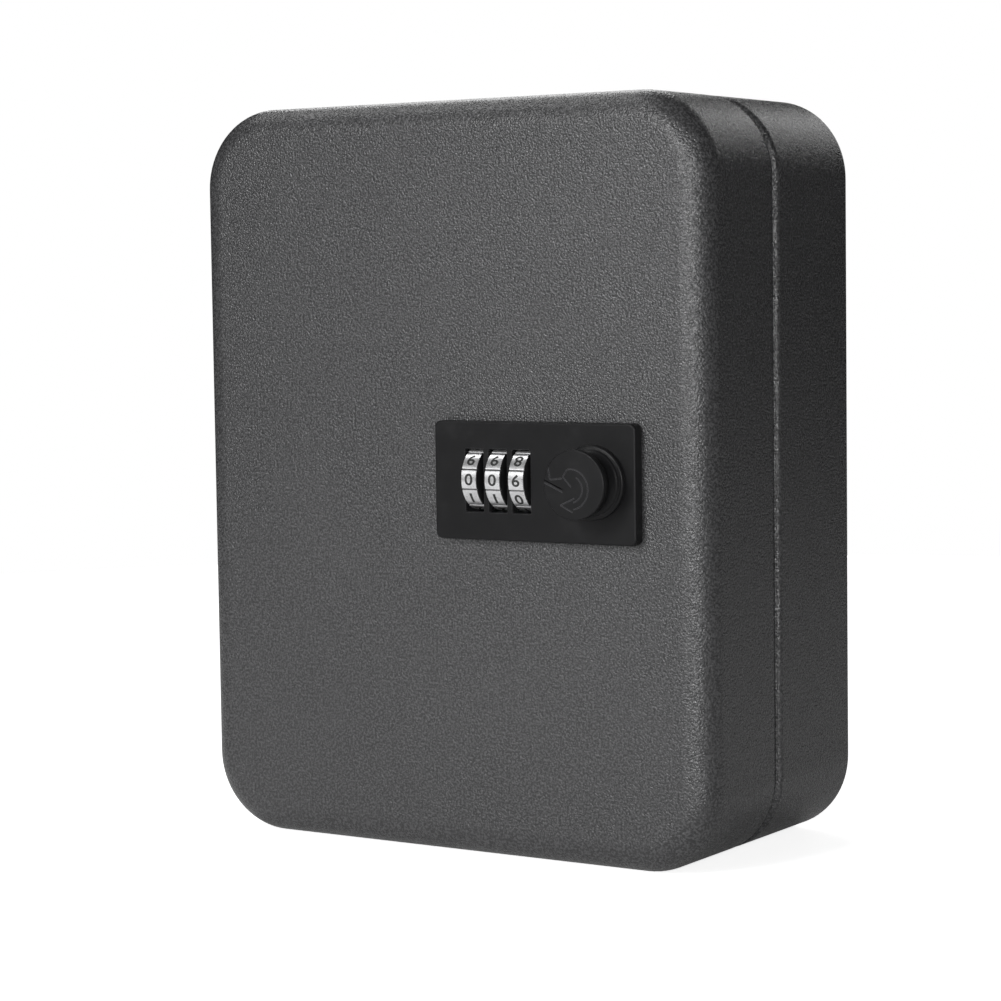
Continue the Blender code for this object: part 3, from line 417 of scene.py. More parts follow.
def zinc_plate():
    """Bright zinc plate with faint spangle and a bluish cast."""
    finish = Finish("zinc_plate")
    look = settings().finishes
    spangle = finish.cells(2.4 * MM, "Color")
    cloud = finish.noise(7 * MM, 3.0)
    grain = finish.noise(0.35 * MM, 2.0, 0.5, finish.stretched((0.12, 1, 1)))
    warm = finish.blend(cloud.between(0.35, 0.7), shade(look.zinc, 0.9), (0.63, 0.64, 0.68))
    colour = finish.blend(0.06, warm, spangle)
    edge = finish.worn_edges(0.25 * MM)
    colour = finish.blend(edge * 0.6, colour, (0.78, 0.78, 0.79))
    rough = 0.34 + (cloud - 0.5) * 0.2 + (grain - 0.5) * 0.12
    normal = finish.bump(grain, 0.012 * MM, 0.35)
    return finish.done(Base_Color=colour, Roughness=rough, Metallic=1.0, Normal=normal)


def plain_steel():
    """Turned and nickel-plated steel of screws, hinge and spindle."""
    finish = Finish("nickel_steel")
    look = settings().finishes
    cloud = finish.noise(2.5 * MM, 3.0)
    turning = finish.noise(0.18 * MM, 2.0, 0.5, finish.stretched((1, 0.2, 1)))
    colour = finish.blend(cloud.between(0.3, 0.75), shade(look.steel, 0.82), shade(look.steel, 1.2))
    edge = finish.worn_edges(0.2 * MM)
    colour = finish.blend(edge * 0.5, colour, (0.8, 0.8, 0.8))
    rough = 0.26 + (cloud - 0.5) * 0.16 + (turning - 0.5) * 0.1
    normal = finish.bump(turning, 0.008 * MM, 0.3)
    return finish.done(Base_Color=colour, Roughness=rough, Metallic=1.0, Normal=normal)


def spring_steel():
    """Polished spring steel, slightly straw-coloured."""
    finish = Finish("spring_steel")
    draw = finish.noise(0.3 * MM, 2.0, 0.5, finish.stretched((0.2, 1, 1)))
    colour = finish.blend(draw, (0.36, 0.35, 0.33), (0.5, 0.49, 0.46))
    return finish.done(Base_Color=colour, Roughness=0.22 + draw * 0.14, Metallic=1.0)


def sleeve_brass():
    """Machined brass with fine turning lines."""
    finish = Finish("machined_brass")
    look = settings().finishes
    lines = finish.noise(0.15 * MM, 2.0, 0.5, finish.stretched((1, 0.15, 0.15)))
    colour = finish.blend(lines, shade(look.brass, 0.85), shade(look.brass, 1.15))
    return finish.done(Base_Color=colour, Roughness=0.26 + lines * 0.14, Metallic=1.0)


def studio_floor():
    """Pale matt floor."""
    finish = Finish("pale_floor")
    cloud = finish.noise(0.6, 2.0)
    colour = finish.blend(cloud, (0.90, 0.90, 0.90), (0.93, 0.93, 0.93))
    seen = finish.node("ShaderNodeLightPath", {}, {}, "Is Camera Ray")
    glow = finish.blend(seen, (0.02, 0.02, 0.02), (1.0, 1.0, 1.0))
    return finish.done(Base_Color=colour, Roughness=0.75, Emission_Color=glow,
                       Emission_Strength=settings().stage.floor_glow)


MAKERS = {
    "coat": powder_coat, "black": lock_black, "wheel": wheel_black, "silver": wheel_silver,
    "ink": digit_ink, "zinc": zinc_plate, "steel": plain_steel, "spring": spring_steel,
    "brass": sleeve_brass, "floor": studio_floor,
}
made_finishes = {}


def finish_of(name):
    """A finish, made the first time it is asked for."""
    if name not in made_finishes:
        made_finishes[name] = MAKERS[name]()
    return made_finishes[name]


# Shapes

def swap(axis, u, v, w):
    """Turn plane coordinates u, v and depth w along an axis into x, y, z."""
    return {"X": (w, u, v), "Y": (u, w, v), "Z": (u, v, w)}[axis]


def arc(centre, radius, start, end, steps):
    """Points on an arc, angles in degrees."""
    turns = [math.radians(start + (end - start) * i / steps) for i in range(steps + 1)]
    return [(centre[0] + radius * math.cos(t), centre[1] + radius * math.sin(t)) for t in turns]


def circle(centre, radius, steps):
    """A full circle of points."""
    return arc(centre, radius, 0, 360, steps)[:-1]


def rounded(half_u, half_v, radius, steps, centre=(0, 0)):
    """The outline of a rectangle with round corners."""
    points = []
    for side_u, side_v, start in ((1, 1, 0), (-1, 1, 90), (-1, -1, 180), (1, -1, 270)):
        corner = (centre[0] + side_u * (half_u - radius), centre[1] + side_v * (half_v - radius))
        points += arc(corner, radius, start, start + 90, steps)
    return points


def ribbon(path, thickness):
    """The outline of a strip of even thickness along a path."""
    left = []
    right = []
    for i, point in enumerate(path):
        ahead = path[min(i + 1, len(path) - 1)]
        behind = path[max(i - 1, 0)]
        reach = math.hypot(ahead[0] - behind[0], ahead[1] - behind[1])
        side = ((behind[1] - ahead[1]) / reach, (ahead[0] - behind[0]) / reach)
        left.append((point[0] + side[0] * thickness / 2, point[1] + side[1] * thickness / 2))
        right.append((point[0] - side[0] * thickness / 2, point[1] - side[1] * thickness / 2))
    return left + right[::-1]


def eased_path(path, radius, steps=6):
    """A path with its corners rounded."""
    points = [path[0]]
    for before, corner, after in zip(path, path[1:], path[2:]):
        first = toward(corner, before, radius)
        last = toward(corner, after, radius)
        for i in range(steps + 1):
            t = i / steps
            points.append(tuple((1 - t) ** 2 * a + 2 * t * (1 - t) * c + t * t * b
                                for a, c, b in zip(first, corner, last)))
    points.append(path[-1])
    return points


def toward(point, target, distance):
    """The point that lies `distance` from `point` toward `target`."""
    reach = math.hypot(target[0] - point[0], target[1] - point[1])
    return tuple(p + (q - p) * distance / reach for p, q in zip(point, target))


def add_slab(mesh, axis, outer, holes, start, end):
    """Add a flat piece with holes, between two depths along an axis."""
    edges = []
    for ring in [outer] + list(holes):
        corners = [mesh.verts.new(swap(axis, u, v, start)) for u, v in ring]
        for i, corner in enumerate(corners):
            edges.append(mesh.edges.new((corners[i - 1], corner)))
    filled = bmesh.ops.triangle_fill(mesh, edges=edges, use_beauty=True)
    faces = [item for item in filled["geom"] if isinstance(item, bmesh.types.BMFace)]
    raised = bmesh.ops.extrude_face_region(mesh, geom=faces, use_keep_orig=True)
    tops = [item for item in raised["geom"] if isinstance(item, bmesh.types.BMVert)]
    bmesh.ops.translate(mesh, verts=tops, vec=swap(axis, 0, 0, end - start))


def add_box(mesh, corner_low, corner_high):
    """Add a cuboid between two corners."""
    outer = [(corner_low[0], corner_low[1]), (corner_high[0], corner_low[1]),
             (corner_high[0], corner_high[1]), (corner_low[0], corner_high[1])]
    add_slab(mesh, "Z", outer, [], corner_low[2], corner_high[2])


def ring_of(mesh, axis, outline, depth):
    """A ring of vertices along an outline."""
    return [mesh.verts.new(swap(axis, u, v, depth)) for u, v in outline]


def bridge(mesh, first, second):
    """Join two rings of vertices, either of which may be a single point."""
    faces = []
    count = max(len(first), len(second))
    for i in range(count):
        j = (i + 1) % count
        corners = [first[i % len(first)], first[j % len(first)],
                   second[j % len(second)], second[i % len(second)]]
        faces.append(mesh.faces.new(list(dict.fromkeys(corners))))
    return faces


def add_loft(mesh, axis, sections):
    """Add a piece lofted through outlines across an axis, with flat ends."""
    rings = [ring_of(mesh, axis, outline, depth) for outline, depth in sections]
    for first, second in zip(rings, rings[1:]):
        bridge(mesh, first, second)
    mesh.faces.new(rings[0])
    mesh.faces.new(rings[-1])


def add_turned(mesh, axis, profile, steps, centre=(0, 0)):
    """Add a turned piece; a radius of 0 closes an end."""
    rings = []
    for radius, depth in profile:
        outline = [centre] if radius == 0 else circle(centre, radius, steps)
        rings.append(ring_of(mesh, axis, outline, depth))
    for first, second in zip(rings, rings[1:]):
        bridge(mesh, first, second)


def add_hoop(mesh, axis, profile, steps, centre=(0, 0)):
    """Add a turned ring whose profile closes on itself."""
    rings = [ring_of(mesh, axis, circle(centre, radius, steps), depth) for radius, depth in profile]
    for i, ring in enumerate(rings):
        bridge(mesh, rings[i - 1], ring)


def form(add, *shape):
    """A new mesh that holds one shape."""
    mesh = bmesh.new()
    add(mesh, *shape)
    return mesh


# Objects

def piece(name, mesh, finish, *more):
    """Make an object of a finished bmesh, with one or more finishes."""
    bmesh.ops.recalc_face_normals(mesh, faces=mesh.faces)
    data = bpy.data.meshes.new(name)
    mesh.to_mesh(data)
    mesh.free()
    made = bpy.data.objects.new(name, data)
    bpy.context.scene.collection.objects.link(made)
    for look in (finish, *more):
        if look:
            data.materials.append(finish_of(look))
    if finish:
        smooth(data)
    return made


def smooth(data, angle=32):
    """Shade the round surfaces of a mesh smooth."""
    data.shade_smooth()
    data.set_sharp_from_angle(angle=math.radians(angle))


def carve(target, tool_mesh, operation="DIFFERENCE"):
    """Apply one exact Boolean to an object."""
    tool = piece("tool", tool_mesh, None)
    step = target.modifiers.new("carve", "BOOLEAN")
    step.operation = operation
    step.solver = "EXACT"
    step.object = tool
    bake_modifiers(target)
    bpy.data.objects.remove(tool)


def bake_modifiers(target):
    """Apply an object's modifiers."""
    bpy.context.view_layer.update()
    graph = bpy.context.evaluated_depsgraph_get()
    result = bpy.data.meshes.new_from_object(target.evaluated_get(graph))
    target.modifiers.clear()
    target.data = result
    smooth(result)


def soften(target, width, segments=2, angle=35):
    """Round an object's sharp edges and keep its flat faces flat."""
    mesh = bmesh.new()
    mesh.from_mesh(target.data)
    bmesh.ops.remove_doubles(mesh, verts=mesh.verts, dist=0.002 * MM)
    bmesh.ops.dissolve_limit(mesh, angle_limit=math.radians(1), verts=mesh.verts, edges=mesh.edges)
    mesh.to_mesh(target.data)
    mesh.free()
    step = target.modifiers.new("edges", "BEVEL")
    step.width = width
    step.segments = segments
    step.limit_method = "ANGLE"
    step.angle_limit = math.radians(angle)
    step.harden_normals = False
    step.use_clamp_overlap = True
    bake_modifiers(target)
    flatten_shading(target)


def flatten_shading(target):
    """Let large faces set the shading, so that they look flat."""
    step = target.modifiers.new("shading", "WEIGHTED_NORMAL")
    step.mode = "FACE_AREA"
    step.weight = 100
    step.keep_sharp = True


def stand_for(made, body, slot, *nodes):
    """The piece rides on a body and stands for CAD nodes, which are hidden; the slot is not used.
    """
    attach(made, body)
    if nodes:
        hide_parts(*nodes)
    return made


def eased_copy(node, name, body, width):
    """A zinc-plated copy of a CAD node with its edges rounded."""
    made = bpy.data.objects.new(name, NODES[node].data.copy())
    bpy.context.scene.collection.objects.link(made)
    made.data.materials.clear()
    made.data.materials.append(finish_of("zinc"))
    soften(made, width)
    stand_for(made, body, "zinc_plate", node)


def repaint(node, look):
    """Give a CAD node that stays visible its finish."""
    data = NODES[node].data
    data.materials.clear()
    data.materials.append(finish_of(look))


# Box

def body_outline(inset):
    """The outline of the box, moved in."""
    half_w = (BOX_HIGH.x - BOX_LOW.x) / 2
    half_h = (BOX_HIGH.z - BOX_LOW.z) / 2
    return rounded(half_w - inset, half_h - inset, settings().box.corner - inset, 20)


def body_tray(name, profile):
    """A tray with the box's outline, from its profile of (inset, depth)."""
    return piece(name, form(add_loft, "Y", [(body_outline(inset), y) for inset, y in profile]),
                 "coat")


def quarter(inset, depth, radius, start, end, sign, steps=10):
    """Profile points of a rounded edge: (inset, depth) around a quarter turn."""
    points = []
    for i in range(steps + 1):
        t = math.radians(start + (end - start) * i / steps)
        points.append((inset + radius * (1 - math.sin(t)),
                       depth + sign * radius * (1 - math.cos(t))))
    return points


def build_door():
    """The door's pressed tray with its cut-out for the lock."""
    size = settings().box
    sheet = size.sheet
    rim = size.rim_round
    profile = quarter(0, FRONT_Y, size.front_round, 0, 90, 1, 14)
    profile += [(0, DOOR_RIM_Y - rim), (rim * 0.3, DOOR_RIM_Y - rim * 0.3), (rim, DOOR_RIM_Y),
                (sheet - rim, DOOR_RIM_Y), (sheet - rim * 0.3, DOOR_RIM_Y - rim * 0.3),
                (sheet, DOOR_RIM_Y - rim)]
    profile += quarter(sheet, FRONT_Y + sheet, size.front_round - sheet, 90, 0, 1, 12)
    made = body_tray("door_tray", profile)
    case = span("lock_case")
    centre = spot_of("lock_case")
    tool = bmesh.new()
    opening = rounded(case.x / 2 + size.lock_gap, case.z / 2 + size.lock_gap, sheet, 4, centre)
    add_slab(tool, "Y", opening, [], FRONT_Y - sheet, FRONT_Y + 2 * sheet)
    for name in CLAMP_SCREWS:
        hole = circle(spot_of(name), span(name).x * 0.38, 20)
        add_slab(tool, "Y", hole, [], FRONT_Y - sheet, FRONT_Y + 2 * sheet)
    carve(made, tool)
    flatten_shading(made)
    return stand_for(made, "door", "powder_coat", "door_shell")


def build_cabinet():
    """The cabinet's tray with its stepped-in lip."""
    size = settings().box
    sheet = size.sheet
    rim = size.rim_round
    lip = size.lip_inset
    lip_y = BOX_LOW.y
    rim_y = 2 * SEAM_AXIS.y - DOOR_RIM_Y
    back = BOX_HIGH.y
    profile = quarter(0, back, size.back_round, 0, 90, -1, 5)
    profile += quarter(0, rim_y, size.fold_round, 90, 0, 1, 10)
    profile += [(lip - rim, rim_y), (lip - rim * 0.3, rim_y - rim * 0.3), (lip, rim_y - rim),
                (lip, lip_y + rim), (lip + rim * 0.3, lip_y + rim * 0.3), (lip + rim, lip_y),
                (lip + sheet - rim, lip_y), (lip + sheet - rim * 0.3, lip_y + rim * 0.3),
                (lip + sheet, lip_y + rim), (lip + sheet, rim_y + sheet - rim),
                (lip + sheet - rim, rim_y + sheet), (sheet + rim, rim_y + sheet),
                (sheet, rim_y + sheet + rim)]
    profile += quarter(sheet, back - sheet, size.back_round - sheet / 2, 90, 0, -1, 4)
    made = body_tray("cabinet_tray", profile)
    tool = bmesh.new()
    for side in (-1, 1):
        for end in (-1, 1):
            centre = (side * (BOX_HIGH.x - WALL_HOLE_SIDE), end * (BOX_HIGH.z - WALL_HOLE_END))
            add_slab(tool, "Y", circle(centre, WALL_HOLE_R, 40), [], back - 2 * sheet, back + sheet)
    knuckle = SEAM_AXIS.x - low("hinge_leaf_door").x
    top = high("hinge_pin").z + KNUCKLE_CLEAR
    end = SEAM_AXIS.y + max(knuckle, rim_y - SEAM_AXIS.y + sheet) + KNUCKLE_CLEAR
    add_box(tool, (SEAM_AXIS.x - knuckle, lip_y - sheet, -top),
            (SEAM_AXIS.x + lip + 1.5 * sheet, end, top))
    carve(made, tool)
    flatten_shading(made)
    return stand_for(made, "cabinet", "powder_coat", "cabinet_shell")


def build_leaf(name, node, body, side, first):
    """A hinge leaf with every other round knuckle, from the first one given."""
    outer = SEAM_AXIS.x - low(node).x
    inner = outer - 0.8 * MM
    near = outer + 0.4 * MM
    box_low, box_high = low(node), high(node)
    edge = (box_high.y if side > 0 else box_low.y) - SEAM_AXIS.y
    pitch = (box_high.z - box_low.z) / HINGE_KNUCKLES
    strip = [(SEAM_AXIS.x + inner, SEAM_AXIS.y + side * near),
             (SEAM_AXIS.x + outer, SEAM_AXIS.y + side * near),
             (SEAM_AXIS.x + outer, SEAM_AXIS.y + edge), (SEAM_AXIS.x + inner, SEAM_AXIS.y + edge)]
    half = pitch * HINGE_KNUCKLES / 2
    made = piece(name, form(add_slab, "Z", strip, [], -half, half), "steel")
    meet = math.degrees(math.acos(inner / outer))
    curl = arc((0, 0), outer, meet, 360, 40)
    outline = [(SEAM_AXIS.x + x, SEAM_AXIS.y + side * y) for x, y in curl]
    outline += [(SEAM_AXIS.x + outer, SEAM_AXIS.y + side * (near + 0.4 * MM)),
                (SEAM_AXIS.x + inner, SEAM_AXIS.y + side * (near + 0.4 * MM))]
    tool = bmesh.new()
    for i in range(first, HINGE_KNUCKLES, 2):
        start = -half + i * pitch + 0.15 * MM
        add_slab(tool, "Z", outline, [circle(SEAM_AXIS.xy, 1.3 * MM, 32)], start,
                 start + pitch - 0.3 * MM)
    carve(made, tool, "UNION")
    soften(made, 0.1 * MM)
    return stand_for(made, body, "plain_steel", node)


def build_hinge():
    """Both leaves and the pin."""
    build_leaf("hinge_leaf_back", "hinge_leaf_cabinet", "cabinet", 1, 0)
    build_leaf("hinge_leaf_front", "hinge_leaf_door", "door", -1, 1)
    box_low, box_high = low("hinge_pin"), high("hinge_pin")
    radius = 1.0 * MM
    head = box_high.x - SEAM_AXIS.x
    seat = box_high.z - 1.6 * MM
    profile = [(0, box_low.z), (radius * 0.7, box_low.z), (radius, box_low.z + radius * 0.3),
               (radius, seat), (head * 0.92, seat), (head, seat + 0.15 * MM)]
    profile += [(head * math.cos(t), seat + 0.5 * MM + 1.1 * MM * math.sin(t))
                for t in (0, 0.35, 0.7, 1.05, 1.35)]
    profile.append((0, box_high.z))
    made = piece("hinge_pin_round", form(add_turned, "Z", profile, 32, SEAM_AXIS.xy), "steel")
    stand_for(made, "cabinet", "plain_steel", "hinge_pin")


def build_strip(node, name, body, facing, count):
    """One hook strip with bent-out hooks and spot-weld dimples."""
    size = settings().hooks
    box_low, box_high = low(node), high(node)
    base = box_high.y if facing < 0 else box_low.y
    reach = span(node).y - size.sheet
    left, right = box_low.x, box_high.x
    full = high("back_hook_strip_1").x - low("back_hook_strip_1").x
    pitch = min((full - 2 * size.end) / (size.full - 1),
                (right - left - 2 * size.end) / (count - 1))
    centre = ((left + right) / 2, middle(node).z)
    face = rounded((right - left) / 2, span(node).z / 2, 1.5 * size.sheet, 5, centre)
    made = piece(name, form(add_slab, "Y", face, [], base, base + facing * size.sheet), "zinc")
    half = size.sheet / 2
    foot = box_low.z
    path = [(base + facing * half, foot + span(node).z / 2), (base + facing * half, foot + half),
            (base + facing * reach, foot + 2 * half),
            (base + facing * (reach + half), foot + size.tip)]
    outline = ribbon(eased_path(path, size.bend), size.sheet * 0.96)
    tool = bmesh.new()
    for i in range(count):
        x = left + size.end + i * pitch
        add_slab(tool, "X", outline, [], x - size.width / 2, x + size.width / 2)
    carve(made, tool, "UNION")
    dimple = ((0, 1.3), (1.5 * MM, 1.3), (1.1 * MM, 0.8), (0, 0.72))
    dimples = bmesh.new()
    for i in range(count - 1):
        x = left + size.end + (i + 0.5) * pitch
        add_turned(dimples, "Y", [(radius, base + facing * size.sheet * depth)
                                  for radius, depth in dimple], 20, (x, middle(node).z))
    carve(made, dimples)
    soften(made, 0.16 * MM)
    return stand_for(made, body, "zinc_plate", node)


def build_strips():
    """Every hook strip."""
    size = settings().hooks
    for row in (1, 2, 3, 4):
        build_strip(f"back_hook_strip_{row}", f"back_hooks_{row}", "cabinet", -1, size.full)
        count = size.full if row in (1, 4) else size.short
        build_strip(f"door_hook_strip_{row}", f"door_hooks_{row}", "door", 1, count)


def build_strike():
    """The strike angle with eased edges."""
    box_low, box_high = low("strike_plate"), high("strike_plate")
    sheet = 1.0 * MM
    half = sheet / 2
    path = [(box_low.x, box_low.y + half), (box_high.x - half, box_low.y + half),
            (box_high.x - half, box_high.y)]
    outline = ribbon(eased_path(path, 1.5 * sheet, 8), sheet)
    made = piece("strike_angle", form(add_slab, "Z", outline, [], box_low.z, box_high.z), "zinc")
    soften(made, 0.15 * MM)
    return stand_for(made, "cabinet", "zinc_plate", "strike_plate")


# Lock

def build_bezel():
    """The lock's front plate with bevelled windows."""
    size = settings().lock
    box_low, box_high = low("lock_bezel"), high("lock_bezel")
    centre = spot_of("lock_bezel")
    half_w, half_h = span("lock_bezel").x / 2, span("lock_bezel").z / 2
    edge = size.bezel_edge
    profile = [(0, box_high.y)]
    profile += [(inset, y) for inset, y in reversed(quarter(0, box_low.y, edge, 0, 90, 1, 5))]
    mesh = bmesh.new()
    add_loft(mesh, "Y", [(rounded(half_w - inset, half_h - inset, size.bezel_corner - inset, 8,
                                  centre), y) for inset, y in profile])
    made = piece("lock_front_plate", mesh, "black")
    skin = 1.2 * MM
    wheel = span("digit_wheel_1").z / 2
    set_back = middle("digit_wheel_1").y - box_low.y - skin
    shows = math.sqrt(wheel ** 2 - set_back ** 2) + 0.95 * MM
    for name in WHEEL_NAMES:
        window = (span(name).x / 2 + 0.3 * MM, shows)
        spot = (middle(name).x, centre[1])
        tool = bmesh.new()
        rings = ((2 * size.window_edge, -size.window_edge), (size.window_edge, 0),
                 (size.window_edge * 0.25, size.window_edge * 0.75), (0, 1.6 * size.window_edge),
                 (0, 4.5 * MM))
        add_loft(tool, "Y", [(rounded(window[0] + grow, window[1] + grow, 0.3 * MM + grow, 4, spot),
                              box_low.y + deep) for grow, deep in rings])
        carve(made, tool)
    hollow = ((low("clutch_sleeve_1").x - 0.4 * MM, box_low.y + skin,
               low("digit_wheel_1").z - 0.4 * MM),
              (high("sleeve_spring").x + 0.3 * MM, box_high.y + 1 * MM,
               high("digit_wheel_1").z + 0.4 * MM))
    carve(made, form(add_box, *hollow))
    carve(made, form(add_slab, "Y", circle(KNOB_SPOT, KNOB_BORE_R, 48), [], box_low.y - 1 * MM,
                     box_high.y + 1 * MM))
    flatten_shading(made)
    return stand_for(made, "door", "lock_black", "lock_bezel")


def wheel_ring(radius, inset):
    """A wheel's outline: ten faces with eased edges and a groove between each two."""
    shape = [(-18, 0.50 * MM), (-17.2, 0.46 * MM), (-16.8, 0.12 * MM), (-16.2, 0.03 * MM)]
    shape += [(turn, 0) for turn in (-15, -11, -7, -3, 3, 7, 11, 15)]
    shape += [(-turn, drop) for turn, drop in reversed(shape[1:4])]
    points = []
    for digit in range(DIGITS):
        for turn, drop in shape:
            t = math.radians(180 + digit * DIGIT_TURN + turn)
            reach = radius - drop - inset
            points.append((reach * math.cos(t), reach * math.sin(t)))
    return points


def plain_ring(radius, like):
    """A circle with one point for each point of another outline."""
    points = []
    for u, v in like:
        t = math.atan2(v, u)
        points.append((radius * math.cos(t), radius * math.sin(t)))
    return points


def build_wheel(index):
    """A digit wheel: black body, silver faces, printed digits."""
    node = WHEEL_NAMES[index]
    centre = middle(node)
    radius = span(node).z / 2
    half = span(node).x / 2
    edge = 0.16 * MM
    outer = wheel_ring(radius, 0)
    sections = [(wheel_ring(radius, edge), -half), (outer, -half + edge), (outer, half - edge),
                (wheel_ring(radius, edge), half)]
    side = [(6.65 * MM, half), (6.35 * MM, half - 0.3 * MM), (3.6 * MM, half - 0.3 * MM),
            (3.4 * MM, half - 0.5 * MM), (3.4 * MM, -half + 0.5 * MM), (3.6 * MM, -half + 0.3 * MM),
            (6.35 * MM, -half + 0.3 * MM), (6.65 * MM, -half)]
    sections += [(plain_ring(ring, outer), x) for ring, x in side]
    mesh = bmesh.new()
    rings = [[mesh.verts.new((centre.x + x, centre.y + u, centre.z + v)) for u, v in outline]
             for outline, x in sections]
    for i, ring in enumerate(rings):
        faces = bridge(mesh, rings[i - 1], ring)
        if i == 2:
            paint_faces(faces, len(outer))
    made = piece(f"digit_wheel_{index + 1}_body", mesh, "wheel", "silver")
    flatten_shading(made)
    stand_for(made, f"wheel_{index + 1}", "digit_wheel", node)
    digits = build_digits(index, centre, radius)
    stand_for(digits, f"wheel_{index + 1}", "digit_wheel")


def paint_faces(faces, count):
    """Silver on the wheel's faces, black at the bottom of its grooves."""
    each = count // DIGITS
    for i, face in enumerate(faces):
        face.material_index = 0 if i % each in (0, each - 1) else 1


def build_digits(index, centre, radius):
    """The ten digits of a wheel as thin ink, upside down as the lock is mounted."""
    proud, sunk = 0.02 * MM, -0.05 * MM
    mesh = bmesh.new()
    for digit in range(DIGITS):
        glyph = digit_sheet(digit)
        back = bmesh.ops.extrude_face_region(glyph, geom=glyph.faces[:], use_keep_orig=True)
        under = {item for item in back["geom"] if isinstance(item, bmesh.types.BMVert)}
        for vertex in glyph.verts:
            turn = math.radians((digit - DIGITS_SHOWN[index]) * DIGIT_TURN) + vertex.co.y / radius
            reach = radius + (sunk if vertex in under else proud)
            vertex.co = centre + Vector((-vertex.co.x, -reach * math.cos(turn),
                                         -reach * math.sin(turn)))
        data = bpy.data.meshes.new("glyph")
        glyph.to_mesh(data)
        glyph.free()
        mesh.from_mesh(data)
    return piece(f"digit_wheel_{index + 1}_digits", mesh, "ink")


def digit_sheet(digit):
    """One digit, flat and centred, cut crosswise so that it can bend round the wheel."""
    size = settings().lock
    curve = bpy.data.curves.new("digit", "FONT")
    curve.body = str(digit)
    curve.resolution_u = 6
    curve.offset = 0.018
    text = bpy.data.objects.new("digit", curve)
    bpy.context.scene.collection.objects.link(text)
    bpy.context.view_layer.update()
    graph = bpy.context.evaluated_depsgraph_get()
    mesh = bmesh.new()
    mesh.from_mesh(bpy.data.meshes.new_from_object(text.evaluated_get(graph)))
    bpy.data.objects.remove(text)
    bmesh.ops.remove_doubles(mesh, verts=mesh.verts, dist=1e-5)
    xs = [vertex.co.x for vertex in mesh.verts]
    ys = [vertex.co.y for vertex in mesh.verts]
    tall = size.digit_height / (max(ys) - min(ys))
    wide = tall * size.digit_stretch
    for vertex in mesh.verts:
        vertex.co = ((vertex.co.x - (max(xs) + min(xs)) / 2) * wide,
                     (vertex.co.y - (max(ys) + min(ys)) / 2) * tall, 0)
    cuts = 6
    for i in range(1 - cuts, cuts):
        bmesh.ops.bisect_plane(mesh, geom=mesh.verts[:] + mesh.edges[:] + mesh.faces[:],
                               plane_co=(0, size.digit_height / 2 * i / cuts, 0),
                               plane_no=(0, 1, 0))
    return mesh


def eased_edge(radius, y, edge):
    """Profile points that round a turned piece's edge toward the front."""
    return [(radius - edge + edge * math.cos(t), y - edge * math.sin(t))
            for t in (0.4, 0.8, 1.2, 1.5708)]


def build_knob():
    """The knob with its engraved arrow."""
    base = high("knob").y
    face = low("knob").y
    rim = 8.9 * MM
    flange = span("knob").x / 2
    profile = [(0, base - 5.8 * MM), (4.3 * MM, base - 5.8 * MM), (4.3 * MM, base),
               (flange - 0.15 * MM, base), (flange, base - 0.15 * MM), (flange, base - 0.75 * MM)]
    profile += eased_edge(flange, base - 0.75 * MM, 0.55 * MM)
    profile += [(8.65 * MM, base - 1.36 * MM), (8.5 * MM, base - 1.5 * MM),
                (8.42 * MM, base - 1.75 * MM), (8.2 * MM, base - 1.95 * MM)]
    neck_start, neck_end = base - 2.0 * MM, face + 1.5 * MM
    for i in range(13):
        t = i / 12
        y = neck_start + (neck_end - neck_start) * t
        profile.append(((8.1 - 0.85 * math.sin(math.pi * min(t * 1.35, 1)) ** 0.9
                         + 0.75 * t ** 3) * MM, y))
    profile += [(rim, face + 1.25 * MM), (rim, face + 0.4 * MM)]
    profile += eased_edge(rim, face + 0.4 * MM, 0.4 * MM)
    profile += [(6.0 * MM, face), (3.0 * MM, face), (0, face)]
    made = piece("turning_knob", form(add_turned, "Y", profile, 120, KNOB_SPOT), "black")
    for path in knob_marks():
        points = [(KNOB_AXIS.x + u * MM, KNOB_AXIS.z + v * MM) for u, v in path]
        outline = ribbon(points, settings().lock.engraving)
        carve(made, form(add_slab, "Y", outline, [], face - 0.5 * MM, face + 0.2 * MM))
    flatten_shading(made)
    return stand_for(made, "knob_set", "lock_black", "knob")


def knob_marks():
    """Lines cut into the knob's face, in millimetres from its centre: a turning arrow."""
    hub = (-0.9, -1.1)
    corners = ((-0.4, -6.9), (-3.9, -5.2), (0.15, -3.4))
    return [arc(hub, 5.1, 100, -81, 40), arc(hub, 3.4, 60, -76, 30),
            [(-1.9, 3.8), (-3.1, 2.0)], [(-3.1, 2.0), (-0.8, -0.5)],
            list(corners[:2]), list(corners[1:]),
            [(-8.75, 1.15), (-3.1, -1.3)], [(-8.6, 0.4), (-3.3, -1.9)],
            [(-7.4, 4.1), (-7.0, 1.3)], [(-6.8, 1.2), (-3.4, 1.6)]]


def build_lock_body():
    """Case, rear cover and clamp frame."""
    eased_copy("lock_case", "lock_housing", "door", 0.12 * MM)
    centre = spot_of("lock_cover")
    half_w, half_h = span("lock_cover").x / 2, span("lock_cover").z / 2
    holes = [circle(spot_of(name), 1.4 * MM, 24) for name in COVER_SCREWS]
    holes.append(circle(KNOB_SPOT, KNOB_BORE_R, 48))
    arm = middle("reset_lever").x
    holes.append(rounded(1.9 * MM, 3.4 * MM, 0.4 * MM, 4, (arm + 0.5 * MM, centre[1])))
    mesh = form(add_slab, "Y", rounded(half_w, half_h, 1.5 * MM, 6, centre), holes,
                low("lock_cover").y, high("lock_cover").y)
    cover = piece("lock_rear_cover", mesh, "zinc")
    soften(cover, 0.12 * MM)
    stand_for(cover, "door", "zinc_plate", "lock_cover")
    eased_copy("clamp_frame", "lock_clamp", "door", 0.12 * MM)


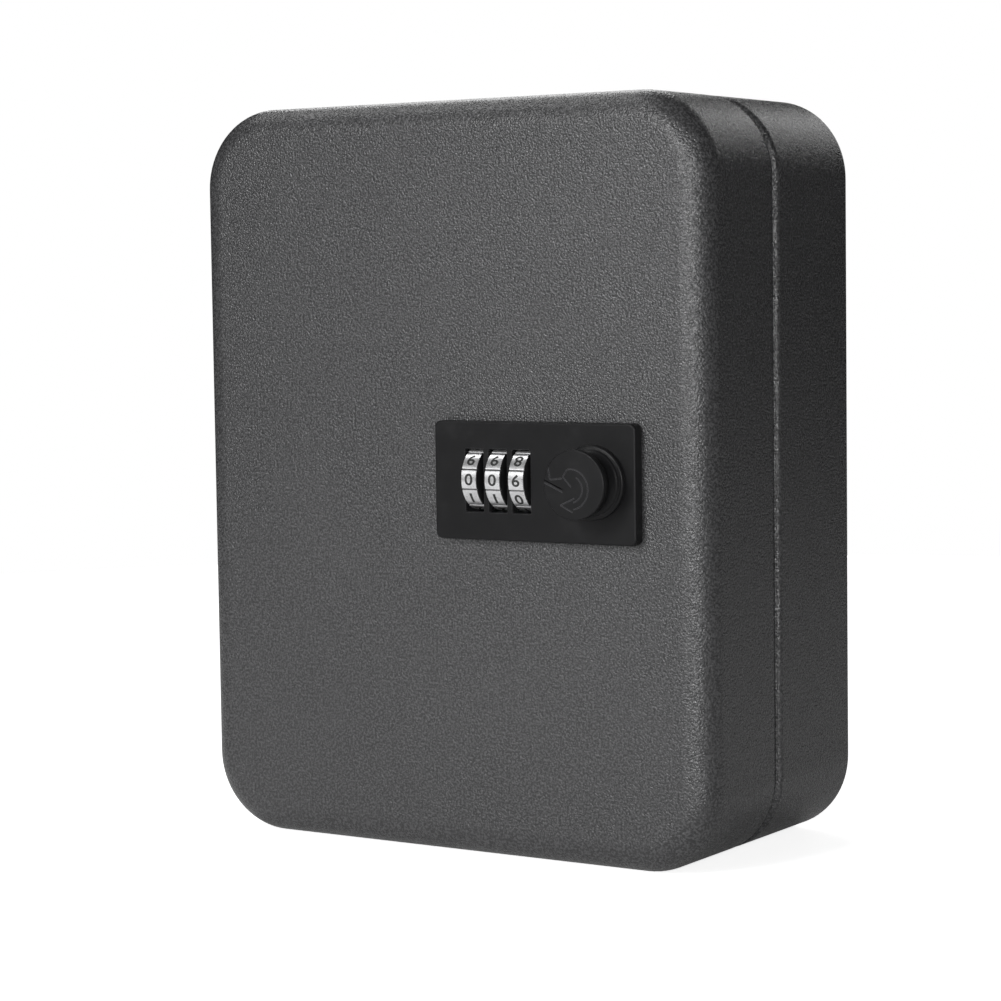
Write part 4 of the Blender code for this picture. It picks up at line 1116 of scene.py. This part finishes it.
def build_screw(node):
    """A pan-head screw with a cross recess."""
    box_low, box_high = low(node), high(node)
    spot = spot_of(node)
    head = span(node).x / 2
    top = box_high.y
    under = top - 1.3 * MM
    shank = 1.1 * MM
    profile = [(0, box_low.y), (shank * 0.6, box_low.y), (shank, box_low.y + 0.5 * MM),
               (shank, under), (head * 0.94, under), (head, under + 0.12 * MM)]
    profile += [(head * math.cos(t) ** 0.55, under + 0.35 * MM + 0.95 * MM * math.sin(t))
                for t in (0.05, 0.35, 0.65, 0.95, 1.2, 1.42)]
    profile.append((0, top))
    made = piece(f"{node}_round", form(add_turned, "Y", profile, 28, spot), "steel")
    for across in ((0.24 * MM, 1.15 * MM), (1.15 * MM, 0.24 * MM)):
        carve(made, form(add_box, (spot[0] - across[0], top - 0.8 * MM, spot[1] - across[1]),
                         (spot[0] + across[0], top + 1 * MM, spot[1] + across[1])))
    return stand_for(made, "door", "plain_steel", node)


def build_cam():
    """The cam, its washer and its hexagon screw."""
    centre = KNOB_SPOT
    box_low, box_high = low("latch_cam"), high("latch_cam")
    hub, half_w = span("latch_cam").x / 2, 6 * MM
    top = box_high.z - centre[1]
    join = math.degrees(math.acos(half_w / hub))
    outline = arc((0, 0), hub, 180 - join, 360 + join, 48)
    outline += rounded(half_w, top, 2.5 * MM, 8)[:18]
    outline = [(centre[0] + u, centre[1] + v) for u, v in outline]
    hole = rounded(3.5 * MM, 3.5 * MM, 0.3 * MM, 3, centre)
    made = piece("cam_arm", form(add_slab, "Y", outline, [hole], box_low.y, box_high.y), "zinc")
    soften(made, 0.25 * MM, 3)
    stand_for(made, "knob_set", "zinc_plate", "latch_cam")
    box_low, box_high = low("cam_washer"), high("cam_washer")
    outer, edge = span("cam_washer").x / 2, 0.15 * MM
    profile = [(1.8 * MM, box_low.y), (outer - edge, box_low.y), (outer, box_low.y + edge),
               (outer, box_high.y - edge), (outer - edge, box_high.y), (1.8 * MM, box_high.y)]
    made = piece("cam_washer_round", form(add_hoop, "Y", profile, 48, centre), "steel")
    stand_for(made, "knob_set", "plain_steel", "cam_washer")
    build_cam_screw(centre)


def build_cam_screw(centre):
    """A hexagon head with its corners turned off, and a plain shank."""
    box_low, box_high = low("cam_screw"), high("cam_screw")
    radius = span("cam_screw").x / 2
    under = box_high.y - 2 * MM
    hexagon = form(add_slab, "Y", circle(centre, radius, 6), [], under, box_high.y)
    made = piece("cam_screw_hexagon", hexagon, "steel")
    crown = [(0, under - 1 * MM), (radius * 1.05, under - 1 * MM),
             (radius * 1.05, box_high.y - 0.55 * MM), (radius * 0.82, box_high.y),
             (0, box_high.y)]
    carve(made, form(add_turned, "Y", crown, 48, centre), "INTERSECT")
    shank = [(0, box_low.y), (1.2 * MM, box_low.y), (1.5 * MM, box_low.y + 0.4 * MM),
             (1.5 * MM, under + 0.5 * MM), (0, under + 0.5 * MM)]
    carve(made, form(add_turned, "Y", shank, 28, centre), "UNION")
    return stand_for(made, "knob_set", "plain_steel", "cam_screw")


def build_works():
    """The pieces inside the lock keep their CAD shapes and get their finishes."""
    for i in (1, 2, 3):
        repaint(f"clutch_sleeve_{i}", "brass")
    for node, look in (("wheel_axle", "steel"), ("spindle", "steel"), ("sleeve_spring", "spring"),
                       ("detent_spring", "spring"), ("fence_slider", "zinc")):
        repaint(node, look)
    eased_copy("reset_lever", "reset_thumb_lever", "reset", 0.15 * MM)


# Stage

def build_stage():
    """Floor, backdrop, lights and camera."""
    look = settings().stage
    mesh = bmesh.new()
    add_slab(mesh, "Z", circle((0, 0), FLOOR_RADIUS, 96), [], BOX_LOW.z - 20 * MM, BOX_LOW.z)
    floor = piece("studio_floor", mesh, "floor")
    surroundings(look)
    for name, turn, rise, size, power in SOFTBOXES:
        softbox(name, turn, rise, size, power * look.light)
    camera(look)
    bpy.context.scene.view_settings.view_transform = "Standard"


def surroundings(look):
    """A white backdrop for the eye, and a dim room for the light."""
    world = bpy.data.worlds.new("studio_room")
    world.use_nodes = True
    room = Tree(world.node_tree)
    seen = room.node("ShaderNodeLightPath", {}, {}, "Is Camera Ray")
    strength = seen * 1.0 + (1 - seen) * look.room
    room.feed(world.node_tree.nodes["Background"].inputs["Strength"], strength)
    room.feed(world.node_tree.nodes["Background"].inputs["Color"], (1, 1, 1, 1))
    bpy.context.scene.world = world


def softbox(name, turn, rise, size, power):
    """A square light facing the box: turn from straight ahead, and rise, in degrees."""
    aim = Vector((0, -0.04, 0))
    turn, rise = math.radians(turn), math.radians(rise)
    away = Vector((math.sin(turn) * math.cos(rise), -math.cos(turn) * math.cos(rise),
                   math.sin(rise)))
    data = bpy.data.lights.new(name, "AREA")
    data.shape = "SQUARE"
    data.size = size
    data.energy = power
    made = bpy.data.objects.new(name, data)
    bpy.context.scene.collection.objects.link(made)
    made.location = aim + away * LIGHT_DISTANCE
    made.location.z = max(made.location.z, LOWEST_LIGHT)
    made.rotation_euler = (aim - made.location).to_track_quat("-Z", "Y").to_euler()


def camera(look):
    """The camera, placed by its angles and its distance."""
    ahead = Vector((-math.sin(look.yaw) * math.cos(look.pitch),
                    math.cos(look.yaw) * math.cos(look.pitch), -math.sin(look.pitch)))
    right = Vector((math.cos(look.yaw), math.sin(look.yaw), 0))
    above = right.cross(ahead)
    right, above = (right * math.cos(look.roll) + above * math.sin(look.roll),
                    above * math.cos(look.roll) - right * math.sin(look.roll))
    data = bpy.data.cameras.new("camera")
    data.lens = look.lens
    data.sensor_width = 36
    data.clip_start = 0.01
    made = bpy.data.objects.new("camera", data)
    bpy.context.scene.collection.objects.link(made)
    turn = Matrix((right, above, -ahead)).transposed().to_4x4()
    made.matrix_world = Matrix.Translation(Vector(look.aim) - ahead * look.distance) @ turn
    bpy.context.scene.camera = made


# Operators

class KEYBOX_OT_door(bpy.types.Operator):
    """Build the door's tray"""
    bl_idname = "keybox.door"
    bl_label = "Door"

    def execute(self, context):
        build_door()
        return {"FINISHED"}


class KEYBOX_OT_cabinet(bpy.types.Operator):
    """Build the cabinet's tray"""
    bl_idname = "keybox.cabinet"
    bl_label = "Cabinet"

    def execute(self, context):
        build_cabinet()
        return {"FINISHED"}


class KEYBOX_OT_hinge(bpy.types.Operator):
    """Build the hinge's leaves and pin"""
    bl_idname = "keybox.hinge"
    bl_label = "Hinge"

    def execute(self, context):
        build_hinge()
        return {"FINISHED"}


class KEYBOX_OT_hooks(bpy.types.Operator):
    """Build the hook strips"""
    bl_idname = "keybox.hooks"
    bl_label = "Key hooks"

    def execute(self, context):
        build_strips()
        return {"FINISHED"}


class KEYBOX_OT_strike(bpy.types.Operator):
    """Build the strike angle"""
    bl_idname = "keybox.strike"
    bl_label = "Strike"

    def execute(self, context):
        build_strike()
        return {"FINISHED"}


class KEYBOX_OT_bezel(bpy.types.Operator):
    """Build the lock's front plate"""
    bl_idname = "keybox.bezel"
    bl_label = "Lock front plate"

    def execute(self, context):
        build_bezel()
        return {"FINISHED"}


class KEYBOX_OT_wheels(bpy.types.Operator):
    """Build the three digit wheels and their digits"""
    bl_idname = "keybox.wheels"
    bl_label = "Digit wheels"

    def execute(self, context):
        for index in range(len(WHEEL_NAMES)):
            build_wheel(index)
        return {"FINISHED"}


class KEYBOX_OT_knob(bpy.types.Operator):
    """Build the turning knob"""
    bl_idname = "keybox.knob"
    bl_label = "Knob"

    def execute(self, context):
        build_knob()
        return {"FINISHED"}


class KEYBOX_OT_lock_body(bpy.types.Operator):
    """Build the lock's case, rear cover and clamp"""
    bl_idname = "keybox.lock_body"
    bl_label = "Lock body"

    def execute(self, context):
        build_lock_body()
        return {"FINISHED"}


class KEYBOX_OT_screws(bpy.types.Operator):
    """Build the lock's screws"""
    bl_idname = "keybox.screws"
    bl_label = "Lock screws"

    def execute(self, context):
        for node in COVER_SCREWS + CLAMP_SCREWS:
            build_screw(node)
        return {"FINISHED"}


class KEYBOX_OT_cam(bpy.types.Operator):
    """Build the cam, its washer and its screw"""
    bl_idname = "keybox.cam"
    bl_label = "Cam"

    def execute(self, context):
        build_cam()
        return {"FINISHED"}


class KEYBOX_OT_works(bpy.types.Operator):
    """Finish the pieces inside the lock"""
    bl_idname = "keybox.works"
    bl_label = "Lock works"

    def execute(self, context):
        build_works()
        return {"FINISHED"}


class KEYBOX_OT_stage(bpy.types.Operator):
    """Set up floor, lights and camera"""
    bl_idname = "keybox.stage"
    bl_label = "Stage"

    def execute(self, context):
        build_stage()
        return {"FINISHED"}


STEPS = (KEYBOX_OT_stage, KEYBOX_OT_door, KEYBOX_OT_cabinet, KEYBOX_OT_hinge, KEYBOX_OT_hooks,
         KEYBOX_OT_strike, KEYBOX_OT_bezel, KEYBOX_OT_wheels, KEYBOX_OT_knob,
         KEYBOX_OT_lock_body, KEYBOX_OT_screws, KEYBOX_OT_cam, KEYBOX_OT_works)


class KEYBOX_PT_panel(bpy.types.Panel):
    """Lists the key box's steps and settings"""
    bl_idname = "KEYBOX_PT_panel"
    bl_label = "Key Lock Box"
    bl_space_type = "VIEW_3D"
    bl_region_type = "UI"
    bl_category = "Key Box"

    def draw(self, context):
        for step in STEPS:
            self.layout.operator(step.bl_idname)
        for name, group in GROUPS:
            column = self.layout.column()
            for key in group.__annotations__:
                column.prop(getattr(context.scene.key_box, name), key)


CLASSES = tuple(group for _, group in GROUPS) + (KeyBoxSettings, *STEPS, KEYBOX_PT_panel)


def register():
    """Register the classes and the settings."""
    for item in CLASSES:
        bpy.utils.register_class(item)
    bpy.types.Scene.key_box = PointerProperty(type=KeyBoxSettings)


def unregister():
    """Remove the settings and the classes."""
    del bpy.types.Scene.key_box
    for item in reversed(CLASSES):
        bpy.utils.unregister_class(item)


def main():
    """Build everything."""
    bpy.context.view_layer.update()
    register()
    for step in STEPS:
        group, name = step.bl_idname.split(".")
        getattr(getattr(bpy.ops, group), name)()


if __name__ == "__main__":
    main()
